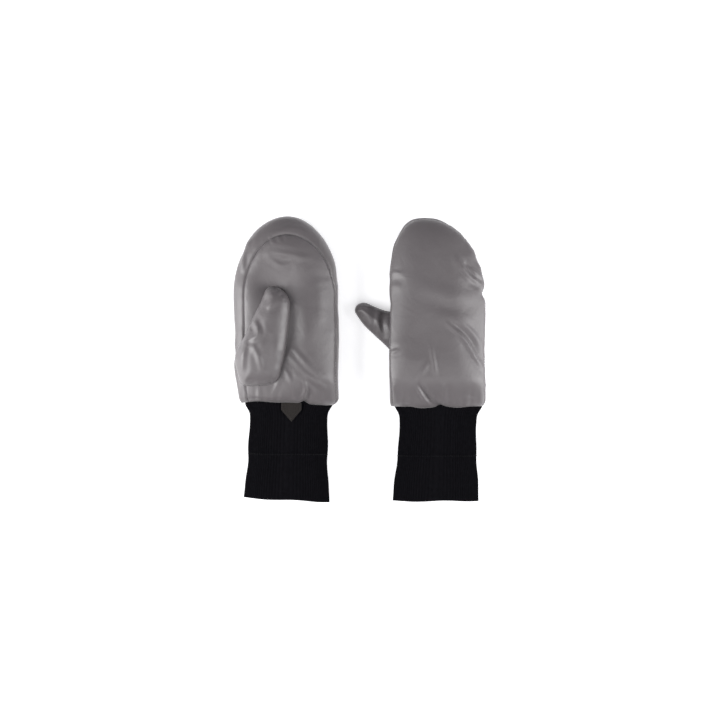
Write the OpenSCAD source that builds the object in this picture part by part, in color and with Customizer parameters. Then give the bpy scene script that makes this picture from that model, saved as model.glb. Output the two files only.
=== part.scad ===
// A pair of padded winter mittens with long knitted cuffs, laid flat side by side.
// The left mitten lies palm up with its thumb folded over the palm. The right mitten
// lies back up with its thumb pointing out to the side.
// +X runs to the right mitten, +Y to the fingertips and +Z up from the table.

/* [Hand] */
// Length of the padded hand, from the wrist seam to the fingertips
hand_len = 215; // [180:1:260]
// Thickness of the padded hand
hand_thick = 46; // [42:1:60]
// Length of the rounded fingertip end
tip_len = 86; // [60:1:100]
// Height of the hand's upper edge at the wrist seam, above the middle of its thickness
wrist_rise = 7; // [7:0.5:14]
// Length over which the hand tapers to the wrist seam
wrist_taper_len = 38; // [30:1:60]
// Clearance to the table of the hand's lower edge at the wrist seam
wrist_lift = 1.6; // [0.5:0.1:3]

/* [Left mitten] */
// Left hand: from the line of its fingertip to its thumb side
left_thumb_side_w = 61; // [50:0.5:75]
// Left hand: from the line of its fingertip to its little finger side
left_outer_side_w = 57.5; // [50:0.5:75]
// Left thumb: angle of its length from +X
left_thumb_angle = 83.5; // [70:0.5:95]
// Left thumb: half of its width at the base
left_thumb_half_w = 25; // [18:0.5:28]
// How deep the folded thumb presses into the left palm
left_press = 9; // [4:0.5:12]

/* [Right mitten] */
// Right hand: from the line of its fingertip to its thumb side
right_thumb_side_w = 43.7; // [38:0.5:60]
// Right hand: from the line of its fingertip to its little finger side
right_outer_side_w = 70; // [55:0.5:80]
// Right thumb: angle of its base from +X
right_thumb_angle = 112; // [100:1:120]
// Right thumb: how far its tip turns outwards from its base
right_thumb_bend = 35; // [20:1:50]
// Right thumb: half of its width at the base
right_thumb_half_w = 20; // [16:0.5:24]

/* [Thumbs] */
// Length of a thumb from its pivot to its tip
thumb_len = 102; // [85:1:120]
// Thickness of a thumb
thumb_thick = 20; // [17:0.5:24]
// Distance of the left thumb's pivot from the wrist seam
left_thumb_from_wrist = 33; // [30:1:45]
// Distance of the right thumb's pivot from the wrist seam
right_thumb_from_wrist = 36; // [32:1:48]
// Distance of a thumb's pivot from the middle of the hand
thumb_from_middle = 28; // [22:1:34]
// Clearance between a thumb and the palm
thumb_gap = 1.5; // [1:0.1:3]
// Radius of the hole between palm and thumb
thumb_hole_r = 9; // [6:0.5:11]

/* [Layers] */
// Thickness of the outer shell fabric
shell_t = 0.8; // [0.5:0.1:1.2]
// Thickness of the wadding in the hand
wadding_t = 6; // [4:0.5:8]
// Thickness of the wadding in the thumb
thumb_wadding_t = 2.5; // [1.5:0.25:3.5]
// Thickness of the lining
lining_t = 0.8; // [0.5:0.1:1.2]
// Air between two layers
layer_gap = 0.2; // [0.15:0.05:0.4]
// Thickness of a seam's thread
thread_t = 0.6; // [0.4:0.1:1]

/* [Cuffs] */
// Length of the cuff
cuff_len = 113; // [80:1:140]
// Half of the cuff's width at the wrist
cuff_wrist_half_w = 44; // [38:0.5:46]
// Half of the cuff's width at its hem
cuff_hem_half_w = 49.5; // [44:0.5:56]
// Half of the cuff's thickness at the wrist
cuff_wrist_half_t = 8; // [6.5:0.1:9.5]
// Half of the cuff's thickness at its hem
cuff_hem_half_t = 9.5; // [8:0.1:11.5]
// Thickness of the knit
knit_t = 1.6; // [1:0.1:2]
// Width of the facing that is turned up inside the cuff
facing_w = 56; // [30:1:70]
// Gap between the cuff and the hand
cuff_gap = 3; // [2:0.1:4]
// Width of the wrist elastic
elastic_w = 6; // [4:0.5:10]

/* [Tab and label] */
// Width of the cuff tab
tab_w = 23; // [15:0.5:30]
// Length of the tab's straight sides
tab_side = 5; // [3:0.5:16]
// Length of the tab's point
tab_point = 13.5; // [5:0.5:16]
// Thickness of the tab
tab_t = 1.2; // [0.8:0.1:2]
// Width of the care label
label_w = 20; // [12:1:30]
// Length of the care label
label_len = 28; // [20:1:35]

/* [Pair] */
// Gap between the two hands, where the right thumb lies
pair_gap = 56; // [50:0.5:80]
// How much further up the left mitten lies than the right one
pair_step = 2.2; // [0:0.1:8]

/* [Hidden] */
PIECES = [
    "back_shell", "side_gusset", "palm_shell", "back_wadding", "side_wadding",
    "palm_wadding", "back_lining", "palm_lining", "palm_seam_thread",
    "back_seam_thread", "wrist_elastic", "wrist_tape", "thumb_outer_shell",
    "thumb_inner_shell", "thumb_wadding", "thumb_lining", "thumb_seam_thread",
    "cuff_knit", "cuff_facing", "cuff_stitch_line", "cuff_tab", "tab_stitching",
    "care_label"
];

L = 0;                       // the left mitten
R = 1;                       // the right mitten
thumb_side_w = [left_thumb_side_w, right_thumb_side_w];
outer_side_w = [left_outer_side_w, right_outer_side_w];
tip_power = [2, 2.5];        // how square the thumb side of the fingertip is
palm_up = [1, -1];
thumb_half_w = [left_thumb_half_w, right_thumb_half_w];
thumb_angle = [left_thumb_angle, right_thumb_angle];
thumb_bend = [0, right_thumb_bend];
thumb_from_wrist = [left_thumb_from_wrist, right_thumb_from_wrist];
thumb_base_len = [10, 20];   // from the thumb's pivot to the end of its base
thumb_swing = [0, 15];       // how far a thumb turns in the plane of the hand
thumb_tip_len = 48;          // length of a thumb's rounded end
thumb_tip_share = 0.92;      // width of a thumb where its end begins, over its base
thumb_power = 2.5;           // squareness of a thumb's section
hole_t = 6;                  // from the thumb's pivot to the middle of its hole

pair_w = left_thumb_side_w + left_outer_side_w + pair_gap
    + right_thumb_side_w + right_outer_side_w;
mitten_x = [-pair_w / 2 + left_thumb_side_w, pair_w / 2 - right_outer_side_w];
pair_len = hand_len + cuff_len + pair_step;
mitten_y = [pair_len / 2 - hand_len, -pair_len / 2 + cuff_len];

// Depths of the layers below the outside of the hand and of the thumb
shell_d = [0, shell_t];
wadding_d = [shell_t + layer_gap, shell_t + layer_gap + wadding_t];
lining_d = [wadding_d[1] + layer_gap, wadding_d[1] + layer_gap + lining_t];
thumb_wadding_d = [shell_t + layer_gap, shell_t + layer_gap + thumb_wadding_t];
thumb_lining_d = [thumb_wadding_d[1] + layer_gap,
    thumb_wadding_d[1] + layer_gap + lining_t];
thread_phi = 1.6;            // half of a thread's width, as an angle of the section
thumb_thread_phi = 2;
thread_gap = 0.1;            // air between a thread and what it is sewn to
thread_d = [-thread_t - thread_gap, -thread_gap];
elastic_t = 1.2;
elastic_gap = 0.4;           // from the shell to the elastic
tape_t = 0.6;
elastic_d = [shell_t + elastic_gap, shell_t + elastic_gap + elastic_t];
tape_d = [elastic_d[1] + layer_gap, elastic_d[1] + layer_gap + tape_t];
elastic_y = 1;               // from the wrist seam to the elastic
wrist_channel = elastic_y + elastic_w + 1;

// Where the seams lie between the middle line (0) and the outer edge (1)
palm_seam_outer = 0.93;      // on the little finger side
palm_seam_tip = 0.74;        // at the fingertips
palm_seam_thumb = 0.82;      // on the thumb side
back_seam = 0.93;

flat_power = 4;              // squareness of the side that lies on the table
crown_power = 3;             // squareness of the side that faces up

cuff_power = 2.6;            // squareness of the cuff's section
cuff_flare_power = 1.6;      // how late the cuff widens towards its hem
cuff_shift = 3;              // of the cuff's wrist end, away from the thumb
facing_hem = 1;              // from the facing's edge to the thread that holds it
tab_drop = 0.3;              // from the cuff's upper edge to the tab
tab_gap = 0.15;              // between the tab and the knit
tab_stitch_inset = 1.6;      // from the tab's edge to its stitches
label_t = 0.3;
label_drop = 10;             // from the cuff's upper edge to the label
label_gap = 0.3;             // between the label and the knit

side_rows = 8;
panel_rows = 5;              // rows of the palm and of the back, from seam to middle
strip_rows = 4;              // rows of the side strip
tip_steps = 12;
edge_n = 2 * side_rows + tip_steps + 1;
thumb_rows = 4;
thumb_tip_steps = 8;
thumb_base_steps = 6;
thumb_n = 2 * thumb_rows + thumb_tip_steps + thumb_base_steps;

shell_grey = [0.45, 0.43, 0.43];
wadding_white = [0.9, 0.9, 0.88];
lining_grey = [0.3, 0.3, 0.31];
thread_grey = [0.36, 0.34, 0.35];
knit_black = [0.07, 0.07, 0.08];
tab_brown = [0.24, 0.22, 0.2];
label_white = [0.85, 0.85, 0.83];

function mix(a, b, t) = a + (b - a) * t;
function clamp01(t) = min(1, max(0, t));
function smooth(t) = let (c = clamp01(t)) c * c * (3 - 2 * c);
function power(v, p) = v <= 0 ? 0 : pow(v, p);

// ---- the thumb's centre line ----

thumb_top = [hand_thick - left_press + thumb_gap + thumb_thick, thumb_thick];
thumb_z = [thumb_top[L] - thumb_thick / 2, thumb_thick / 2];
// The pivot sits above the table's side of the palm, inside the thumb side of the hand
function pivot(m) = [
    (outer_side_w[m] - thumb_side_w[m]) / 2 - thumb_from_middle, thumb_from_wrist[m]
];
// A point of the thumb: u to the right of its centre line, t along it, and the turn
// of the whole thumb about its pivot
function thumb_xy(m, u, t, turn = 0) =
    let (h0 = thumb_angle[m] + turn)
    let (h = h0 + thumb_bend[m] * max(t, 0) / thumb_len)
    let (rho = thumb_bend[m] == 0 ? 0 : thumb_len / (thumb_bend[m] * PI / 180))
    let (ahead = rho == 0 ? t * [cos(h0), sin(h0)]
        : t < 0 ? t * [cos(h0), sin(h0)]
        : rho * [sin(h) - sin(h0), cos(h0) - cos(h)])
    pivot(m) + ahead + u * [sin(h), -cos(h)];

// Distance of a point from a stretch between two points
function stretch_dist(p, a, b) =
    let (ab = b - a, t = clamp01((p - a) * ab / (ab * ab)))
    norm(p - a - t * ab);
// Distance of a point of the hand from the thumb's centre line, over its whole swing
function thumb_dist(m, p) = min([
    for (turn = m == L ? [0] : [0, thumb_swing[m] / 2, thumb_swing[m]])
    for (k = [0:2])
        stretch_dist(p, thumb_xy(m, 0, thumb_len * k / 3, turn),
            thumb_xy(m, 0, thumb_len * (k + 1) / 3, turn))
]);
press_reach = [32, 34];
press_power = 4;
function press(m, p) = exp(-pow(thumb_dist(m, p) / press_reach[m], press_power));

// ---- the hand's padded body ----

function wrist_fade(y) = 1 - smooth(y / wrist_taper_len);
function hand_top(m, p) = mix(
    mix(hand_thick, hand_thick / 2 + wrist_rise, wrist_fade(p[1])),
    hand_thick - left_press, m == L ? press(m, p) : 0);
function hand_bottom(m, p) = mix(wrist_lift * wrist_fade(p[1]),
    thumb_thick + thumb_gap, m == R ? press(m, p) : 0);
mid_wrist_z = (hand_thick / 2 + wrist_rise + wrist_lift) / 2;

function tip_y() = hand_len - tip_len;
function row_y(i) = tip_y() * i / side_rows;
// Edge and middle-line points for place i, from the wrist up the little finger side,
// round the fingertips and down the thumb side, pulled in by d
function edge_xy(m, i, d) =
    i <= side_rows ? [outer_side_w[m] - d, row_y(i)]
    : i >= side_rows + tip_steps
        ? [-thumb_side_w[m] + d, row_y(edge_n - 1 - i)]
    : let (t = 180 * (i - side_rows) / tip_steps)
        let (w = t < 90 ? outer_side_w[m] : thumb_side_w[m])
        let (q = t < 90 ? 1 : 2 / tip_power[m])
        [sign(cos(t)) * power(abs(cos(t)), q) * (w - d),
            tip_y() + power(sin(t), q) * (tip_len - d)];
function spine_xy(i) = [0, i <= side_rows ? row_y(i)
    : i >= side_rows + tip_steps ? row_y(edge_n - 1 - i) : tip_y()];
function spine_id(i) = i <= side_rows ? i
    : i >= side_rows + tip_steps ? edge_n - 1 - i : side_rows;

// Place of a section point between the middle line (phi = 90 or -90) and the edge (0)
function inward(phi, p) = power(cos(phi), 2 / p);
// The stretch near the middle line that faces the table is made truly flat
flat_stretch = 1.05;
function upward(phi, p) = power(abs(sin(phi)), 2 / p);
function hand_rise(m, phi) = phi < 0
    ? min(1, flat_stretch * upward(phi, flat_power)) : upward(phi, crown_power);
function section_power(m, phi) = phi < 0 ? flat_power : crown_power;
function hand_z(m, p, phi, d) =
    let (top = hand_top(m, p), bottom = hand_bottom(m, p), mid = (top + bottom) / 2)
    let (rise = hand_rise(m, phi))
    phi < 0 ? mid - rise * (mid - bottom - d) : mid + rise * (top - mid - d);
function hand_point(m, i, phi, d) =
    let (s = spine_xy(i), e = edge_xy(m, i, d))
    let (p = s + inward(phi, section_power(m, phi)) * (e - s))
    [p[0], p[1], hand_z(m, p, phi, d)];

// Angle of the section at which a seam at the given share of the width lies
function seam_phi(share, p) = acos(pow(share, p / 2));
function turn_at(i) = i <= side_rows ? 0 : i >= side_rows + tip_steps ? 180
    : 180 * (i - side_rows) / tip_steps;
function palm_share(i) = let (t = turn_at(i))
    mix(t < 90 ? palm_seam_outer : palm_seam_thumb, palm_seam_tip, sin(t));
function palm_phi(m, i) = palm_up[m] > 0 ? seam_phi(palm_share(i), crown_power)
    : -seam_phi(palm_share(i), flat_power);
function back_phi(m, i) = palm_up[m] > 0 ? -seam_phi(back_seam, flat_power)
    : seam_phi(back_seam, crown_power);

// ---- solids from a grid of points ----

// A sheet with two faces: face 0 outside and face 1 inside, n places along i and
// rows + 1 places along k. id(i) joins the places that meet on the middle line.
function tri(a, b, c) = a == b || b == c || a == c ? [] : [[a, b, c]];
function quad(a, b, c, e) = concat(tri(a, b, c), tri(a, c, e));
function flat_list(v) = [for (a = v) for (b = a) b];

module sheet(points, ids, n, rows, loop, low_pole, high_pole) {
    last = loop ? n - 1 : n - 2;
    size = n * (rows + 1);
    function at(face, i, k) = let (j = i % n)
        face * size + k * n
        + ((k == 0 && low_pole) || (k == rows && high_pole) ? ids[j] : j);
    outside = [for (i = [0:last]) for (k = [0:rows - 1])
        quad(at(0, i, k), at(0, i, k + 1), at(0, i + 1, k + 1), at(0, i + 1, k))];
    inside = [for (i = [0:last]) for (k = [0:rows - 1])
        quad(at(1, i, k), at(1, i + 1, k), at(1, i + 1, k + 1), at(1, i, k + 1))];
    low_rim = low_pole ? [] : [for (i = [0:last])
        quad(at(0, i, 0), at(0, i + 1, 0), at(1, i + 1, 0), at(1, i, 0))];
    high_rim = high_pole ? [] : [for (i = [0:last])
        quad(at(0, i, rows), at(1, i, rows), at(1, i + 1, rows), at(0, i + 1, rows))];
    ends = loop ? [] : [for (k = [0:rows - 1]) concat(
        quad(at(0, 0, k), at(1, 0, k), at(1, 0, k + 1), at(0, 0, k + 1)),
        quad(at(0, n - 1, k), at(0, n - 1, k + 1), at(1, n - 1, k + 1),
            at(1, n - 1, k)))];
    polyhedron(points, flat_list(concat(outside, inside, low_rim, high_rim, ends)));
}

// Part of the hand's body. angles holds one list of section angles for each row, and
// layers that share their rows' angles lie parallel, facet by facet.
module hand_sheet(m, angles, d, low_pole = false, high_pole = false) {
    rows = len(angles) - 1;
    points = [for (face = [0, 1]) for (k = [0:rows]) for (i = [0:edge_n - 1])
        hand_point(m, i, angles[k][i], d[face])];
    ids = [for (i = [0:edge_n - 1]) spine_id(i)];
    sheet(points, ids, edge_n, rows, false, low_pole, high_pole);
}
function places(v) = [for (i = [0:edge_n - 1]) v];
function palm_line(m) = [for (i = [0:edge_n - 1]) palm_phi(m, i)];
function back_line(m) = [for (i = [0:edge_n - 1]) back_phi(m, i)];
function rows_between(low, high, rows) = [for (k = [0:rows])
    [for (i = [0:edge_n - 1]) mix(low[i], high[i], k / rows)]];
function lower_rows(line) = rows_between(places(-90), line, panel_rows);
function upper_rows(line) = rows_between(line, places(90), panel_rows);
function side_rows_of(m) = palm_up[m] > 0
    ? rows_between(back_line(m), palm_line(m), strip_rows)
    : rows_between(palm_line(m), back_line(m), strip_rows);
function without_first(v) = [for (k = [1:len(v) - 1]) v[k]];
module upper_sheet(m, line, d) hand_sheet(m, upper_rows(line), d, false, true);
module lower_sheet(m, line, d) hand_sheet(m, lower_rows(line), d, true, false);
module palm_sheet(m, d) {
    if (palm_up[m] > 0) upper_sheet(m, palm_line(m), d);
    else lower_sheet(m, palm_line(m), d);
}
module back_sheet(m, d) {
    if (palm_up[m] > 0) lower_sheet(m, back_line(m), d);
    else upper_sheet(m, back_line(m), d);
}
module side_sheet(m, d) hand_sheet(m, side_rows_of(m), d);
// Palm and side in one, as the lining is cut
module deep_sheet(m, d) {
    if (palm_up[m] > 0)
        hand_sheet(m, concat(side_rows_of(m), without_first(upper_rows(palm_line(m)))),
            d, false, true);
    else
        hand_sheet(m, concat(lower_rows(palm_line(m)), without_first(side_rows_of(m))),
            d, true, false);
}
module seam(m, line) {
    hand_sheet(m, rows_between([for (v = line) v - thread_phi],
        [for (v = line) v + thread_phi], 1), thread_d);
}
// Everything that is further from the wrist seam than y
module above(y) {
    intersection() {
        children();
        translate([-200, y, -50])
            cube([400, 2 * hand_len, 200]);
    }
}
module place(m) translate([mitten_x[m], mitten_y[m], 0]) children();
// The hole between palm and thumb, through the palm and the near half of the thumb
module thumb_hole(m) {
    p = thumb_xy(m, 0, hole_t);
    z0 = m == L ? hand_thick / 2 : thumb_z[R];
    z1 = m == L ? thumb_z[L] : hand_thick * 0.75;
    translate([p[0], p[1], z0])
        linear_extrude(z1 - z0)
            polygon([for (a = [0:15:345]) thumb_hole_r * [cos(a), sin(a)]]);
}
module palm_layer(m, d) {
    difference() {
        palm_sheet(m, d);
        thumb_hole(m);
    }
}

module back_shell(m) color(shell_grey) place(m) back_sheet(m, shell_d);
module side_gusset(m) color(shell_grey * 0.92) place(m) side_sheet(m, shell_d);
module palm_shell(m) color(shell_grey * 1.05) place(m) palm_layer(m, shell_d);
module back_wadding(m)
    color(wadding_white) place(m) above(wrist_channel) back_sheet(m, wadding_d);
module side_wadding(m)
    color(wadding_white) place(m) above(wrist_channel) side_sheet(m, wadding_d);
module palm_wadding(m)
    color(wadding_white) place(m) above(wrist_channel) palm_layer(m, wadding_d);
module back_lining(m) color(lining_grey) place(m) back_sheet(m, lining_d);
module palm_lining(m) color(lining_grey) place(m)
    difference() {
        deep_sheet(m, lining_d);
        thumb_hole(m);
    }
module palm_seam_thread(m) color(thread_grey) place(m) seam(m, palm_line(m));
module back_seam_thread(m) color(thread_grey) place(m) seam(m, back_line(m));

// ---- rings and tubes ----

// A tube from lists of rings, each list running the same way along the tube
module tube(outer, inner) {
    n = len(outer[0]);
    last = len(outer) - 1;
    points = concat(flat_list(outer), flat_list(inner));
    function at(face, j, k) = (face * (last + 1) + j) * n + k % n;
    sides = [for (j = [0:last - 1]) for (k = [0:n - 1]) concat(
        quad(at(0, j, k), at(0, j, k + 1), at(0, j + 1, k + 1), at(0, j + 1, k)),
        quad(at(1, j, k), at(1, j + 1, k), at(1, j + 1, k + 1), at(1, j, k + 1)))];
    rims = [for (k = [0:n - 1]) concat(
        quad(at(0, 0, k + 1), at(0, 0, k), at(1, 0, k), at(1, 0, k + 1)),
        quad(at(0, last, k), at(0, last, k + 1), at(1, last, k + 1), at(1, last, k)))];
    polyhedron(points, flat_list(concat(sides, rims)));
}
// Section of the hand near the wrist, all the way round, on the facets of the panels
function wrist_angles(m, i) = let (palm = palm_line(m), back = back_line(m))
    let (low = palm_up[m] > 0 ? back : palm, high = palm_up[m] > 0 ? palm : back)
    [for (row = concat(lower_rows(low), without_first(side_rows_of(m)),
        without_first(upper_rows(high)))) row[i]];
function wrist_point(m, i, next, phi, y, d) =
    mix(hand_point(m, i, phi, d), hand_point(m, next, phi, d), y / row_y(1));
function wrist_ring(m, y, d) =
    let (last = edge_n - 1, right = wrist_angles(m, 0), left = wrist_angles(m, last))
    concat([for (phi = right) wrist_point(m, 0, 1, phi, y, d)],
        [for (k = [len(left) - 2:-1:1]) wrist_point(m, last, last - 1, left[k], y, d)]);
module wrist_band(m, d) {
    y0 = elastic_y;
    y1 = elastic_y + elastic_w;
    tube([wrist_ring(m, y1, d[0]), wrist_ring(m, y0, d[0])],
        [wrist_ring(m, y1, d[1]), wrist_ring(m, y0, d[1])]);
}
module wrist_elastic(m) color(label_white) place(m) wrist_band(m, elastic_d);
module wrist_tape(m) color(thread_grey) place(m) wrist_band(m, tape_d);

// ---- the thumb ----

function thumb_edge_ut(m, i, d) =
    let (straight = thumb_len - thumb_tip_len)
    i <= thumb_rows ? [mix(thumb_half_w[m], thumb_half_w[m] * thumb_tip_share, i / thumb_rows) - d,
        straight * i / thumb_rows]
    : i < thumb_rows + thumb_tip_steps
        ? let (a = 180 * (i - thumb_rows) / thumb_tip_steps)
        [cos(a) * (thumb_half_w[m] * thumb_tip_share - d), straight + sin(a) * (thumb_tip_len - d)]
    : i <= 2 * thumb_rows + thumb_tip_steps
        ? let (k = 2 * thumb_rows + thumb_tip_steps - i)
        [-mix(thumb_half_w[m], thumb_half_w[m] * thumb_tip_share, k / thumb_rows) + d,
            straight * k / thumb_rows]
    : let (a = 180 + 180 * (i - 2 * thumb_rows - thumb_tip_steps) / thumb_base_steps)
        [cos(a) * (thumb_half_w[m] - d), sin(a) * (thumb_base_len[m] - d)];
function thumb_spine_t(i) =
    let (straight = thumb_len - thumb_tip_len)
    i <= thumb_rows ? straight * i / thumb_rows
    : i < thumb_rows + thumb_tip_steps ? straight
    : i <= 2 * thumb_rows + thumb_tip_steps
        ? straight * (2 * thumb_rows + thumb_tip_steps - i) / thumb_rows
    : 0;
function thumb_spine_id(i) =
    i <= thumb_rows ? i : i < thumb_rows + thumb_tip_steps ? thumb_rows
    : i <= 2 * thumb_rows + thumb_tip_steps ? 2 * thumb_rows + thumb_tip_steps - i : 0;
function thumb_point(m, i, phi, d) =
    let (s = [0, thumb_spine_t(i)], e = thumb_edge_ut(m, i, d))
    let (p = s + inward(phi, thumb_power) * (e - s), xy = thumb_xy(m, p[0], p[1]))
    [xy[0], xy[1], thumb_z[m]
        + sign(phi) * upward(phi, thumb_power) * (thumb_thick / 2 - d)];
module thumb_solid(m, d) {
    rows = 6;
    points = [for (k = [0:rows]) for (i = [0:thumb_n - 1])
        thumb_point(m, i, mix(-90, 90, k / rows), d)];
    function at(i, k) = let (j = i % thumb_n)
        k * thumb_n + (k == 0 || k == rows ? thumb_spine_id(j) : j);
    polyhedron(points, flat_list([for (i = [0:thumb_n - 1]) for (k = [0:rows - 1])
        quad(at(i, k), at(i, k + 1), at(i + 1, k + 1), at(i + 1, k))]));
}
module thumb_layer(m, d) {
    difference() {
        thumb_solid(m, d[0]);
        thumb_solid(m, d[1]);
        thumb_hole(m);
    }
}
module thumb_sheet(m, low, high, d, rows) {
    points = [for (face = [0, 1]) for (k = [0:rows]) for (i = [0:thumb_n - 1])
        thumb_point(m, i, mix(low, high, k / rows), d[face])];
    ids = [for (i = [0:thumb_n - 1]) thumb_spine_id(i)];
    sheet(points, ids, thumb_n, rows, true, low == -90, high == 90);
}
// The outer shell faces away from the palm and the inner shell faces it
module thumb_outer_shell(m) color(shell_grey * 1.1) place(m)
    thumb_sheet(m, m == L ? 0 : -90, m == L ? 90 : 0, shell_d, 3);
module thumb_inner_shell(m) color(shell_grey) place(m)
    difference() {
        thumb_sheet(m, m == L ? -90 : 0, m == L ? 0 : 90, shell_d, 3);
        thumb_hole(m);
    }
module thumb_wadding(m) color(wadding_white) place(m) thumb_layer(m, thumb_wadding_d);
module thumb_lining(m) color(lining_grey) place(m) thumb_layer(m, thumb_lining_d);
module thumb_seam_thread(m) color(thread_grey) place(m)
    thumb_sheet(m, -thumb_thread_phi, thumb_thread_phi, thread_d, 1);

// ---- the cuff ----

cuff_run = cuff_len - cuff_gap;
cuff_slope = atan((mid_wrist_z - cuff_hem_half_t) / cuff_run);
// Height of the cuff's middle, its half thickness, its half width and its middle in X,
// at distance s below its upper edge
function cuff_z(s) = mix(mid_wrist_z, cuff_hem_half_t, s / cuff_run);
function cuff_half_t(s) = mix(cuff_wrist_half_t, cuff_hem_half_t, s / cuff_run);
function cuff_half_w(s) =
    mix(cuff_wrist_half_w, cuff_hem_half_w, pow(s / cuff_run, cuff_flare_power));
function cuff_x(m, s) = (outer_side_w[m] - thumb_side_w[m]) / 2
    + mix(cuff_shift, 0, s / cuff_run);
function cuff_ring(m, s, d) = [for (k = [0:23])
    let (a = 360 * k / 24, c = cos(a), q = 2 / cuff_power)
    [cuff_x(m, s) + sign(c) * power(abs(c), q) * (cuff_half_w(s) - d),
        -cuff_gap - s,
        cuff_z(s) + sign(sin(a)) * power(abs(sin(a)), q) * (cuff_half_t(s) - d)]];
module cuff_tube(m, s0, s1, d, rows) {
    steps = [for (j = [0:rows]) mix(s0, s1, j / rows)];
    tube([for (s = steps) cuff_ring(m, s, d[0])],
        [for (s = steps) cuff_ring(m, s, d[1])]);
}
knit_d = [0, knit_t];
facing_d = [knit_t + layer_gap, 2 * knit_t + layer_gap];
module cuff_knit(m) color(knit_black) place(m) cuff_tube(m, 0, cuff_run, knit_d, 6);
module cuff_facing(m) color(knit_black) place(m)
    cuff_tube(m, cuff_run - facing_w, cuff_run, facing_d, 3);
module cuff_stitch_line(m) color(knit_black) place(m)
    cuff_tube(m, cuff_run - facing_w + facing_hem, cuff_run - facing_w + facing_hem
        + 2 * thread_t, thread_d, 1);

// Something flat on the palm side of the cuff, s below its upper edge, or inside it
module on_cuff(m, s, out) {
    up = palm_up[m];
    translate([cuff_x(m, s), -cuff_gap - s, cuff_z(s) + up * (cuff_half_t(s) + out)])
        rotate([up > 0 ? face_tilt(up) : 180 + face_tilt(up), 0, 0])
            children();
}
function face_tilt(up) = atan((mid_wrist_z - cuff_hem_half_t
    + up * (cuff_wrist_half_t - cuff_hem_half_t)) / cuff_run);
tab_len = tab_side + tab_point;
function tab_outline(m, inset) = let (w = tab_w / 2 - inset, up = palm_up[m])
    [[-w, -inset * up], [w, -inset * up], [w, -tab_side * up],
        [0, -(tab_len - inset) * up], [-w, -tab_side * up]];
module cuff_tab(m) color(tab_brown) place(m) on_cuff(m, tab_drop, tab_gap)
    linear_extrude(tab_t) polygon(tab_outline(m, 0));
module tab_stitching(m) color(thread_grey) place(m)
    on_cuff(m, tab_drop, tab_gap + tab_t + thread_gap)
        linear_extrude(thread_t)
            difference() {
                polygon(tab_outline(m, tab_stitch_inset));
                polygon(tab_outline(m, tab_stitch_inset + thread_t));
            }
module care_label(m) color(label_white) place(m)
    on_cuff(m, label_drop, -knit_t - label_t - label_gap)
        translate([-label_w / 2, palm_up[m] > 0 ? -label_len : 0, 0])
            cube([label_w, label_len, label_t]);

module piece(m, name) {
    if (name == "back_shell") back_shell(m);
    if (name == "side_gusset") side_gusset(m);
    if (name == "palm_shell") palm_shell(m);
    if (name == "back_wadding") back_wadding(m);
    if (name == "side_wadding") side_wadding(m);
    if (name == "palm_wadding") palm_wadding(m);
    if (name == "back_lining") back_lining(m);
    if (name == "palm_lining") palm_lining(m);
    if (name == "palm_seam_thread") palm_seam_thread(m);
    if (name == "back_seam_thread") back_seam_thread(m);
    if (name == "wrist_elastic") wrist_elastic(m);
    if (name == "wrist_tape") wrist_tape(m);
    if (name == "thumb_outer_shell") thumb_outer_shell(m);
    if (name == "thumb_inner_shell") thumb_inner_shell(m);
    if (name == "thumb_wadding") thumb_wadding(m);
    if (name == "thumb_lining") thumb_lining(m);
    if (name == "thumb_seam_thread") thumb_seam_thread(m);
    if (name == "cuff_knit") cuff_knit(m);
    if (name == "cuff_facing") cuff_facing(m);
    if (name == "cuff_stitch_line") cuff_stitch_line(m);
    if (name == "cuff_tab") cuff_tab(m);
    if (name == "tab_stitching") tab_stitching(m);
    if (name == "care_label") care_label(m);
}
for (name = PIECES) {
    piece(L, name);
    piece(R, name);
}
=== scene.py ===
import math

import bpy
import numpy as np
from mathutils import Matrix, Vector


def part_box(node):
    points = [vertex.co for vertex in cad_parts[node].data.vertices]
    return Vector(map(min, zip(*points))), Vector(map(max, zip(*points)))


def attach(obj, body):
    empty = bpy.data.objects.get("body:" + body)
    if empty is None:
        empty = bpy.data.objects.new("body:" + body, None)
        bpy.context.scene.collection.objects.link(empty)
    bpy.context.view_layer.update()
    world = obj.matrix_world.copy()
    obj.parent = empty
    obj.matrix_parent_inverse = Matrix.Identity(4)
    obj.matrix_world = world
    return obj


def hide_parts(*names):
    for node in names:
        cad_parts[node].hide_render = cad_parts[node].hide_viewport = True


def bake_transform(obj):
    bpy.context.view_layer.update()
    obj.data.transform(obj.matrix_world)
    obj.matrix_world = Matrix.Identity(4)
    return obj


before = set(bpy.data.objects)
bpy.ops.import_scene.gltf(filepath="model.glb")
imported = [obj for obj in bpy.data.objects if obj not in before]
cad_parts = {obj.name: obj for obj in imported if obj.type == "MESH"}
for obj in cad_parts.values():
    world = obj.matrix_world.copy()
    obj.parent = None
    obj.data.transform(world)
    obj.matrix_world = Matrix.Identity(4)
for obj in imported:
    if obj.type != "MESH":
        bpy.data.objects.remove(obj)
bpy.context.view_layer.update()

MM = 0.001    # the frame is in metres

# ---------------------------------------------------------------------------
# Table, light and camera
# The pair lies on a plain white table under two tall soft boxes, one to each
# side, which put the bright rims on the satin, and a broad dim light above.
# ---------------------------------------------------------------------------
scene = bpy.context.scene
scene.view_settings.view_transform = "Standard"


def link(obj):
    scene.collection.objects.link(obj)
    return obj


def new_material(name, roughness, specular=0.5):
    mat = bpy.data.materials.new(name)
    mat.use_nodes = True
    shader = mat.node_tree.nodes["Principled BSDF"]
    shader.inputs["Roughness"].default_value = roughness
    shader.inputs["Specular IOR Level"].default_value = specular
    return mat, mat.node_tree.nodes, mat.node_tree.links, shader


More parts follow.
